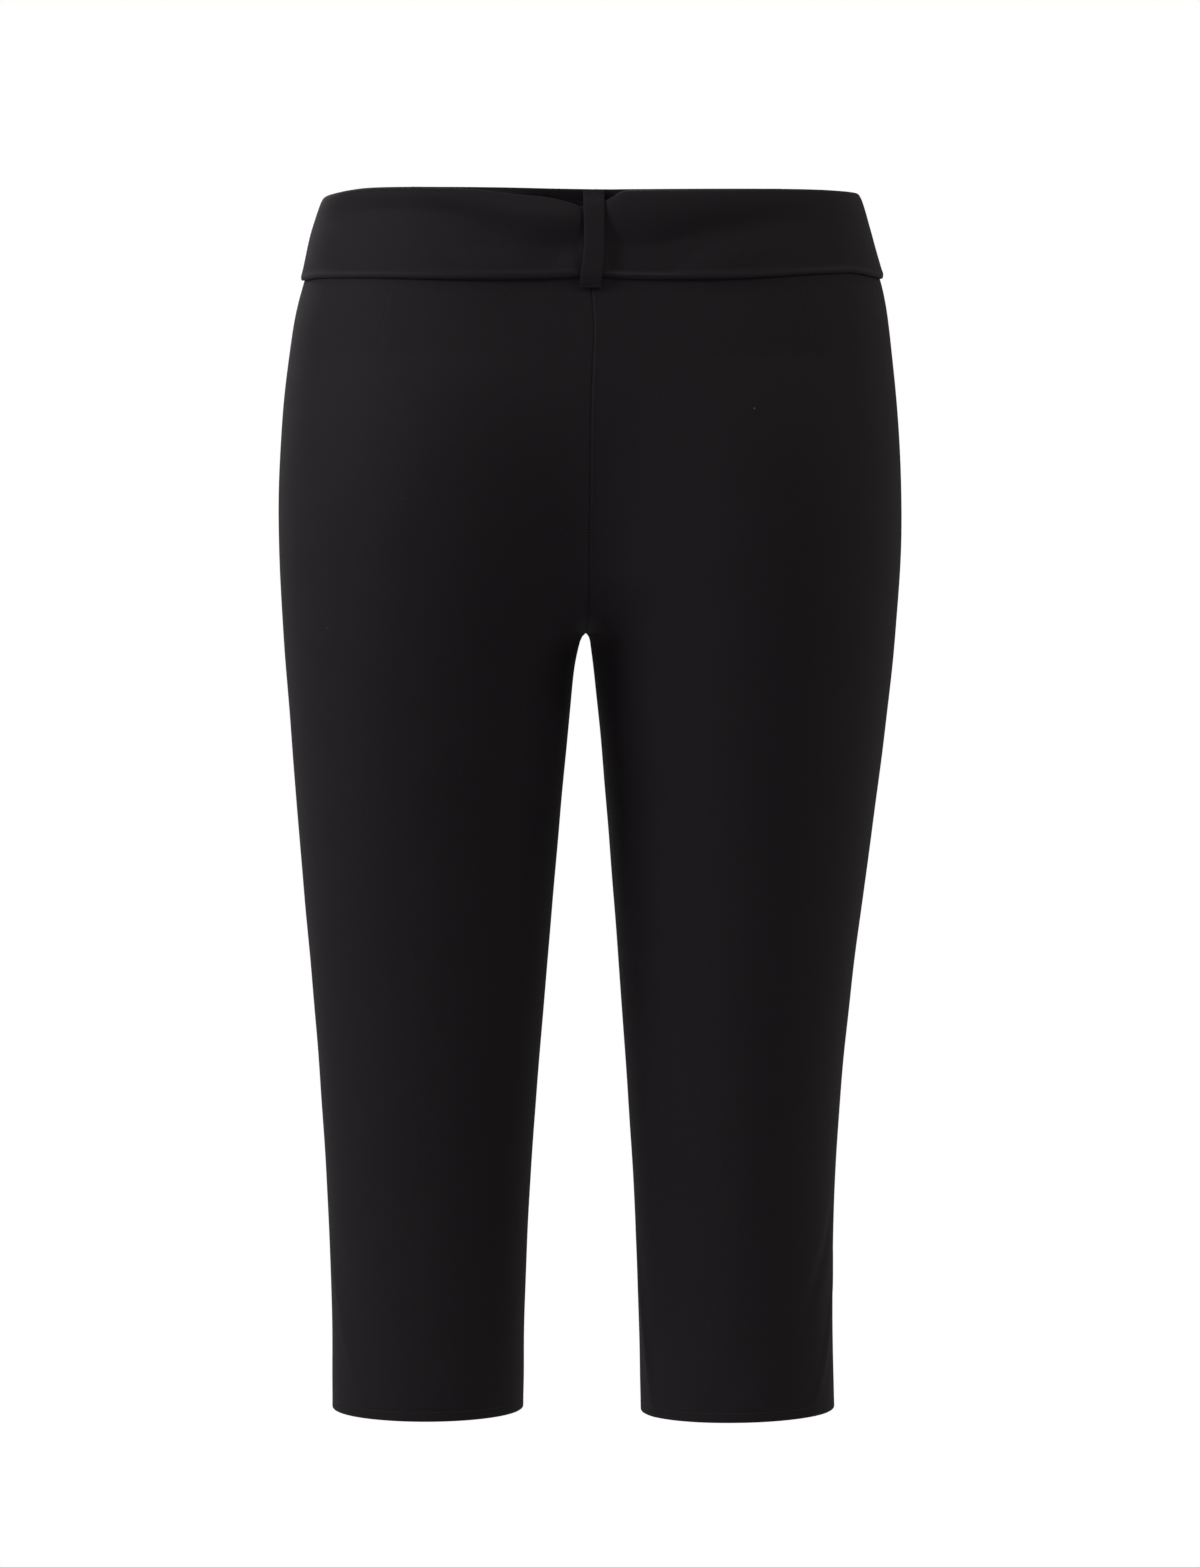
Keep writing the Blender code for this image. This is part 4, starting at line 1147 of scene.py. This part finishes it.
def knit_group():
    """Fine double knit: columns of small loops, a heather of lighter and darker yarn, and a few specks of lint.
    It puts out the cloth's colour, its roughness and the height of its loops from 0 to 1."""
    tree = bpy.data.node_groups.get("fine_knit")
    if tree:
        return tree
    tree = bpy.data.node_groups.new("fine_knit", "ShaderNodeTree")
    face = tree.interface
    face.new_socket("Cloth Place", in_out="INPUT", socket_type="NodeSocketVector")
    face.new_socket("Room Place", in_out="INPUT", socket_type="NodeSocketVector")
    face.new_socket("Yarn Color", in_out="INPUT", socket_type="NodeSocketColor")
    # The fold input lightens the colour in a band above a fold: a painted highlight, not real wear
    for name, value in (("Wale Width", 0.00075), ("Course Height", 0.0006), ("Heather", 0.3), ("Lint", 1.0),
                        ("Fold Wear", 0.0)):
        face.new_socket(name, in_out="INPUT", socket_type="NodeSocketFloat").default_value = value
    face.new_socket("Color", in_out="OUTPUT", socket_type="NodeSocketColor")
    face.new_socket("Roughness", in_out="OUTPUT", socket_type="NodeSocketFloat")
    face.new_socket("Height", in_out="OUTPUT", socket_type="NodeSocketFloat")
    inside = tree.nodes.new("NodeGroupInput").outputs
    result = tree.nodes.new("NodeGroupOutput").inputs

    place = add_node(tree, "SeparateXYZ")
    tree.links.new(inside["Cloth Place"], place.inputs[0])
    wale = math_node(tree, "DIVIDE", place.outputs["X"], inside["Wale Width"])
    course = math_node(tree, "DIVIDE", place.outputs["Y"], inside["Course Height"])
    from_rib = math_node(tree, "ABSOLUTE", math_node(tree, "SINE", math_node(tree, "MULTIPLY", wale, math.pi)))
    slant = math_node(tree, "MULTIPLY", math_node(tree, "PINGPONG", wale, 0.5), LOOP_SLANT)
    turn = math_node(tree, "MULTIPLY", math_node(tree, "ADD", course, slant), 2 * math.pi)
    loop = math_node(tree, "MULTIPLY_ADD", math_node(tree, "SINE", turn), 0.5, 0.5)
    relief = math_node(tree, "MULTIPLY_ADD", loop, LOOP_RELIEF, RIB_RELIEF)
    height = math_node(tree, "MULTIPLY", from_rib, relief)

    fine = add_node(tree, "TexNoise", Scale=1500.0, Detail=3.0, Roughness=0.7)
    blotch = add_node(tree, "TexNoise", Scale=26.0, Detail=4.0, Roughness=0.6)
    fibre = add_node(tree, "TexNoise", Scale=420.0, Detail=2.0, Roughness=0.6)
    for texture in (fine, blotch, fibre):
        tree.links.new(inside["Room Place"], texture.inputs["Vector"])
    fine, blotch, fibre = (
        math_node(tree, "SUBTRACT", texture.outputs["Fac"], 0.5) for texture in (fine, blotch, fibre)
    )
    mottle = math_node(tree, "MULTIPLY", math_node(tree, "MULTIPLY_ADD", fibre, FIBRE_SHARE, fine), inside["Heather"])
    shade = math_node(tree, "ADD", math_node(tree, "MULTIPLY_ADD", blotch, BLOTCH_SHADE, mottle), 1.0)
    # Painted highlight: the colour is lightened in a band just above the sash's bottom fold, where light catches its
    # roll
    from_fold = math_node(tree, "ABSOLUTE", math_node(tree, "SUBTRACT", place.outputs["Y"], FOLD_HIGHLIGHT_HEIGHT))
    painted_highlight = add_node(tree, "MapRange", interpolation_type="SMOOTHSTEP", From_Min=FOLD_HIGHLIGHT_WIDTH, From_Max=0.0)
    tree.links.new(from_fold, painted_highlight.inputs["Value"])
    shade = math_node(tree, "MULTIPLY_ADD", painted_highlight.outputs["Result"], inside["Fold Wear"], shade)
    tinted = add_node(tree, "VectorMath", operation="SCALE")
    tree.links.new(inside["Yarn Color"], tinted.inputs[0])
    tree.links.new(shade, tinted.inputs["Scale"])

    specks = add_node(tree, "TexVoronoi", Scale=62.0, Randomness=1.0)
    tree.links.new(inside["Room Place"], specks.inputs["Vector"])
    chance = add_node(tree, "SeparateColor")
    tree.links.new(specks.outputs["Color"], chance.inputs[0])
    rare = math_node(tree, "GREATER_THAN", chance.outputs[0], LINT_ABOVE)
    size = math_node(tree, "MULTIPLY", chance.outputs[1], LINT_SIZE)
    small = math_node(tree, "LESS_THAN", specks.outputs["Distance"], size)
    speck = math_node(tree, "MULTIPLY", math_node(tree, "MULTIPLY", rare, small), inside["Lint"])
    linted = add_node(tree, "Mix", data_type="RGBA")
    linted.inputs[7].default_value = LINT_COLOUR
    tree.links.new(speck, linted.inputs[0])
    tree.links.new(tinted.outputs[0], linted.inputs[6])
    tree.links.new(linted.outputs[2], result["Color"])

    rough = math_node(tree, "MULTIPLY_ADD", fine, KNIT_ROUGHNESS_SPREAD, KNIT_ROUGHNESS)
    tree.links.new(rough, result["Roughness"])
    tree.links.new(height, result["Height"])
    return tree


def cloth_material(name, colour, sizes, painted_fold_highlight=0.0):
    """Black double knit with a soft bloom at grazing angles."""
    material = bpy.data.materials.get(name)
    if material:
        return material
    material = bpy.data.materials.new(name)
    material.use_nodes = True
    tree = material.node_tree
    shader = tree.nodes["Principled BSDF"]
    cloth_place = add_node(tree, "UVMap", uv_map="ClothUV")
    room_place = add_node(tree, "TexCoord")
    knit = tree.nodes.new("ShaderNodeGroup")
    knit.node_tree = knit_group()
    tree.links.new(cloth_place.outputs["UV"], knit.inputs["Cloth Place"])
    tree.links.new(room_place.outputs["Object"], knit.inputs["Room Place"])
    knit.inputs["Yarn Color"].default_value = (*colour, 1.0)
    knit.inputs["Wale Width"].default_value = sizes.wale_width
    knit.inputs["Course Height"].default_value = sizes.wale_width * COURSE_SHARE
    # Strength of the painted highlight along the fold
    knit.inputs["Fold Wear"].default_value = painted_fold_highlight
    bump = add_node(tree, "Bump", Strength=0.55, Distance=0.00012)
    tree.links.new(knit.outputs["Height"], bump.inputs["Height"])
    tree.links.new(knit.outputs["Color"], shader.inputs["Base Color"])
    tree.links.new(knit.outputs["Roughness"], shader.inputs["Roughness"])
    tree.links.new(bump.outputs["Normal"], shader.inputs["Normal"])
    shader.inputs["Specular IOR Level"].default_value = 0.10
    shader.inputs["Sheen Weight"].default_value = 0.03
    shader.inputs["Sheen Roughness"].default_value = 0.45
    shader.inputs["Sheen Tint"].default_value = (1.0, 0.92, 0.98, 1.0)
    return material


def thread_material(name, colour):
    """Twisted polyester thread, a little glossier than the cloth."""
    material = bpy.data.materials.get(name)
    if material:
        return material
    material = bpy.data.materials.new(name)
    material.use_nodes = True
    tree = material.node_tree
    shader = tree.nodes["Principled BSDF"]
    place = add_node(tree, "UVMap", uv_map="ClothUV")
    twist = add_node(tree, "TexWave", Scale=2200.0, Distortion=1.5, Detail=1.0)
    twist.bands_direction = "DIAGONAL"
    tree.links.new(place.outputs["UV"], twist.inputs["Vector"])
    shade = add_node(tree, "Mix", data_type="RGBA")
    shade.inputs[6].default_value = (*(c * THREAD_SHADE for c in colour), 1.0)
    shade.inputs[7].default_value = (*colour, 1.0)
    tree.links.new(twist.outputs["Fac"], shade.inputs[0])
    tree.links.new(shade.outputs[2], shader.inputs["Base Color"])
    bump = add_node(tree, "Bump", Strength=0.5, Distance=0.00005)
    tree.links.new(twist.outputs["Fac"], bump.inputs["Height"])
    tree.links.new(bump.outputs["Normal"], shader.inputs["Normal"])
    shader.inputs["Roughness"].default_value = 0.5
    shader.inputs["Specular IOR Level"].default_value = 0.25
    return material


# ---------------------------------------------------------------- stage


def add_light(name, place, target, size, power, colour):
    light = bpy.data.lights.new(name, "AREA")
    light.shape = "RECTANGLE"
    light.size, light.size_y = size
    light.energy = power
    light.color = colour
    made = bpy.data.objects.new(name, light)
    made.location = place
    made.rotation_euler = (Vector(target) - Vector(place)).to_track_quat("-Z", "Y").to_euler()
    bpy.context.scene.collection.objects.link(made)


def build_world(stage):
    """Even pale surroundings, which light the pants less than they show."""
    world = bpy.data.worlds.new("studio")
    bpy.context.scene.world = world
    world.use_nodes = True
    tree = world.node_tree
    shows = tree.nodes["Background"]
    shows.inputs["Color"].default_value = (1.0, 1.0, 1.0, 1.0)
    path = add_node(tree, "LightPath")
    strength = add_node(tree, "MapRange", To_Min=stage.surround_light, To_Max=1.0)
    tree.links.new(path.outputs["Is Camera Ray"], strength.inputs["Value"])
    tree.links.new(strength.outputs["Result"], shows.inputs["Strength"])


def build_floor(stage):
    """A round pale floor that fades into the surroundings at its rim."""
    r = np.linspace(0.0, FLOOR_RADIUS, FLOOR_RINGS)
    angle = np.linspace(0, 2 * math.pi, FLOOR_SIDES, endpoint=False)
    level = np.full((FLOOR_RINGS, FLOOR_SIDES), -HEM_DROP - stage.floor_below_hem)
    points = np.stack((r[:, None] * np.cos(angle), r[:, None] * np.sin(angle), level), axis=-1)
    faces = grid_faces(FLOOR_RINGS, FLOOR_SIDES, close_columns=True)[:, ::-1]
    material = bpy.data.materials.new("pale_floor")
    material.use_nodes = True
    tree = material.node_tree
    shader = tree.nodes["Principled BSDF"]
    shader.inputs["Roughness"].default_value = 0.8
    place = add_node(tree, "TexCoord")
    grain = add_node(tree, "TexNoise", Scale=9.0, Detail=5.0)
    tree.links.new(place.outputs["Object"], grain.inputs["Vector"])
    tone = add_node(tree, "MapRange", To_Min=FLOOR_TONES[0], To_Max=FLOOR_TONES[1])
    tree.links.new(grain.outputs["Fac"], tone.inputs["Value"])
    tree.links.new(tone.outputs["Result"], shader.inputs["Base Color"])
    reach = add_node(tree, "VectorMath", operation="LENGTH")
    tree.links.new(place.outputs["Object"], reach.inputs[0])
    fade = add_node(tree, "MapRange", interpolation_type="SMOOTHSTEP",
                    From_Min=FLOOR_FADE[0], From_Max=FLOOR_FADE[1])
    tree.links.new(reach.outputs["Value"], fade.inputs["Value"])
    clear = add_node(tree, "BsdfTransparent")
    mixed = add_node(tree, "MixShader")
    tree.links.new(fade.outputs["Result"], mixed.inputs[0])
    tree.links.new(shader.outputs[0], mixed.inputs[1])
    tree.links.new(clear.outputs[0], mixed.inputs[2])
    tree.links.new(mixed.outputs[0], tree.nodes["Material Output"].inputs["Surface"])
    add_mesh("floor", points.reshape(-1, 3), faces, material)


def build_camera():
    camera = bpy.data.cameras.new("camera")
    made = bpy.data.objects.new("camera", camera)
    made.location = CAMERA_PLACE
    sight = CAMERA_TARGET - CAMERA_PLACE
    made.rotation_euler = sight.to_track_quat("-Z", "Y").to_euler()
    camera.sensor_width = SENSOR
    camera.lens = SENSOR * sight.length / CAMERA_VIEW_HEIGHT
    bpy.context.scene.collection.objects.link(made)
    bpy.context.scene.camera = made


def build_stage(stage):
    build_world(stage)
    build_floor(stage)
    build_camera()
    middle = (0.0, 0.0, -HEM_DROP / 2)
    for light in LIGHTS:
        add_light(light.name, light.place, middle, light.size, getattr(stage, light.power), light.colour)
    bpy.context.scene.view_settings.view_transform = "Standard"


# ---------------------------------------------------------------- settings


def length_setting(name, description, default, low, high):
    return bpy.props.FloatProperty(
        name=name, description=description, default=default, min=low, max=high, precision=5,
        subtype="DISTANCE", unit="LENGTH",
    )


def colour_setting(name, description, default):
    return bpy.props.FloatVectorProperty(
        name=name, description=description, default=default, size=3, min=0.0, max=1.0, subtype="COLOR"
    )


def power_setting(name, description, default):
    return bpy.props.FloatProperty(name=name, description=description, default=default, min=0.0, unit="POWER")


class PantsSizes(bpy.types.PropertyGroup):
    """Sizes of the cloth and of its sewing"""

    cloth_thickness: length_setting("Cloth", "Thickness of the double knit", 0.0015, 0.0008, 0.0030)
    hem_thickness: length_setting("Hem", "Thickness of the turned hem", 0.0027, 0.0015, 0.0050)
    hem_turn: length_setting("Hem turn", "How far the hem is turned up inside", 0.0082, 0.0040, 0.0110)
    hem_stitch_height: length_setting("Hem stitch", "Height of the hem stitches above the edge", 0.0060, 0.002, 0.01)
    hem_stitch_depth: length_setting(
        "Hem stitch depth", "How far the stitches draw the cloth in", 0.00010, 0.0, 0.001
    )
    hem_stitch_pitch: length_setting("Hem stitch pitch", "From one hem stitch to the next", 0.0020, 0.001, 0.006)
    thread_radius: length_setting("Thread radius", "Half the thickness of the sewing thread", 0.00017, 0.0001, 0.0005)
    seam_depth: length_setting("Seam depth", "Depth of the groove along each seam", 0.00050, 0.0, 0.0014)
    loop_proud: length_setting("Loop stand-off", "How far the belt loop stands off the sash", 0.0014, 0.0, 0.003)
    wale_width: length_setting("Wale width", "Width of one column of knit loops", 0.00075, 0.0003, 0.003)


class PantsColours(bpy.types.PropertyGroup):
    """Colours of the cloth and of the thread"""

    cloth: colour_setting("Cloth", "Colour of the double knit", (0.0078, 0.0060, 0.0076))
    sash: colour_setting("Sash", "Colour of the sash and the belt loop", (0.0078, 0.0060, 0.0076))
    thread: colour_setting("Thread", "Colour of the sewing thread", (0.016, 0.0135, 0.0155))


class PantsStage(bpy.types.PropertyGroup):
    """Light and floor"""

    floor_below_hem: length_setting("Floor", "How far the floor lies below the hems", 0.55, 0.0, 2.0)
    surround_light: bpy.props.FloatProperty(
        name="Surround", description="How strongly the pale surroundings light the pants", default=0.22, min=0.0
    )
    key_power: power_setting("Key light", "Soft light behind the wearer's left shoulder", 116.0)
    side_power: power_setting("Side light", "Soft light at the wearer's left", 10.0)
    fill_power: power_setting("Fill light", "Broad light from behind the wearer", 29.0)
    top_power: power_setting("Overhead light", "Soft light above the waist", 24.0)
    right_power: power_setting("Right light", "Weak light behind the wearer's right shoulder", 62.0)
    rim_power: power_setting("Rim light", "Warm light at the wearer's right", 3.5)
    front_power: power_setting("Front light", "Soft light on the wearer's front", 36.0)


# ---------------------------------------------------------------- operators


class CAPRI_OT_panels(bpy.types.Operator):
    """Makes the two back and two front panels with their seams, darts, hems and creases"""

    bl_idname = "capri.panels"
    bl_label = "Panels"

    def execute(self, context):
        made_panels.clear()
        build_panels(context.scene.capri_sizes, context.scene.capri_colours)
        return {"FINISHED"}


class CAPRI_OT_allowances(bpy.types.Operator):
    """Makes the seam allowances inside the pants"""

    bl_idname = "capri.allowances"
    bl_label = "Seam allowances"

    def execute(self, context):
        build_allowances(context.scene.capri_sizes, context.scene.capri_colours)
        return {"FINISHED"}


class CAPRI_OT_sash(bpy.types.Operator):
    """Makes the soft sash round the waist"""

    bl_idname = "capri.sash"
    bl_label = "Sash"

    def execute(self, context):
        build_sash(context.scene.capri_sizes, context.scene.capri_colours)
        return {"FINISHED"}


class CAPRI_OT_belt_loop(bpy.types.Operator):
    """Makes the loop that holds the sash at the centre back"""

    bl_idname = "capri.belt_loop"
    bl_label = "Belt loop"

    def execute(self, context):
        build_loop(context.scene.capri_sizes, context.scene.capri_colours)
        return {"FINISHED"}


class CAPRI_OT_stitching(bpy.types.Operator):
    """Makes the stitches round the hems and down the seat seam"""

    bl_idname = "capri.stitching"
    bl_label = "Stitching"

    def execute(self, context):
        build_stitching(context.scene.capri_sizes, context.scene.capri_colours)
        return {"FINISHED"}


class CAPRI_OT_stage(bpy.types.Operator):
    """Makes the floor, the lights and the camera"""

    bl_idname = "capri.stage"
    bl_label = "Stage"

    def execute(self, context):
        build_stage(context.scene.capri_stage)
        return {"FINISHED"}


STEPS = (CAPRI_OT_panels, CAPRI_OT_allowances, CAPRI_OT_sash, CAPRI_OT_belt_loop, CAPRI_OT_stitching,
         CAPRI_OT_stage)


class CAPRI_PT_sidebar(bpy.types.Panel):
    """Lists the pieces of the pants, with their sizes and colours"""

    bl_idname = "CAPRI_PT_sidebar"
    bl_label = "Capri Pants"
    bl_space_type = "VIEW_3D"
    bl_region_type = "UI"
    bl_category = "Capri Pants"

    def draw(self, context):
        layout = self.layout
        for step in STEPS:
            layout.operator(step.bl_idname)
        for group in (context.scene.capri_sizes, context.scene.capri_colours, context.scene.capri_stage):
            box = layout.box()
            for name in group.__annotations__:
                box.prop(group, name)


CLASSES = (PantsSizes, PantsColours, PantsStage, *STEPS, CAPRI_PT_sidebar)


def register():
    for cls in CLASSES:
        bpy.utils.register_class(cls)
    bpy.types.Scene.capri_sizes = bpy.props.PointerProperty(type=PantsSizes)
    bpy.types.Scene.capri_colours = bpy.props.PointerProperty(type=PantsColours)
    bpy.types.Scene.capri_stage = bpy.props.PointerProperty(type=PantsStage)


def unregister():
    del bpy.types.Scene.capri_stage
    del bpy.types.Scene.capri_colours
    del bpy.types.Scene.capri_sizes
    for cls in reversed(CLASSES):
        bpy.utils.unregister_class(cls)


def main():
    register()
    bpy.ops.capri.panels()
    bpy.ops.capri.allowances()
    bpy.ops.capri.sash()
    bpy.ops.capri.belt_loop()
    bpy.ops.capri.stitching()
    bpy.ops.capri.stage()


if __name__ == "__main__":
    main()
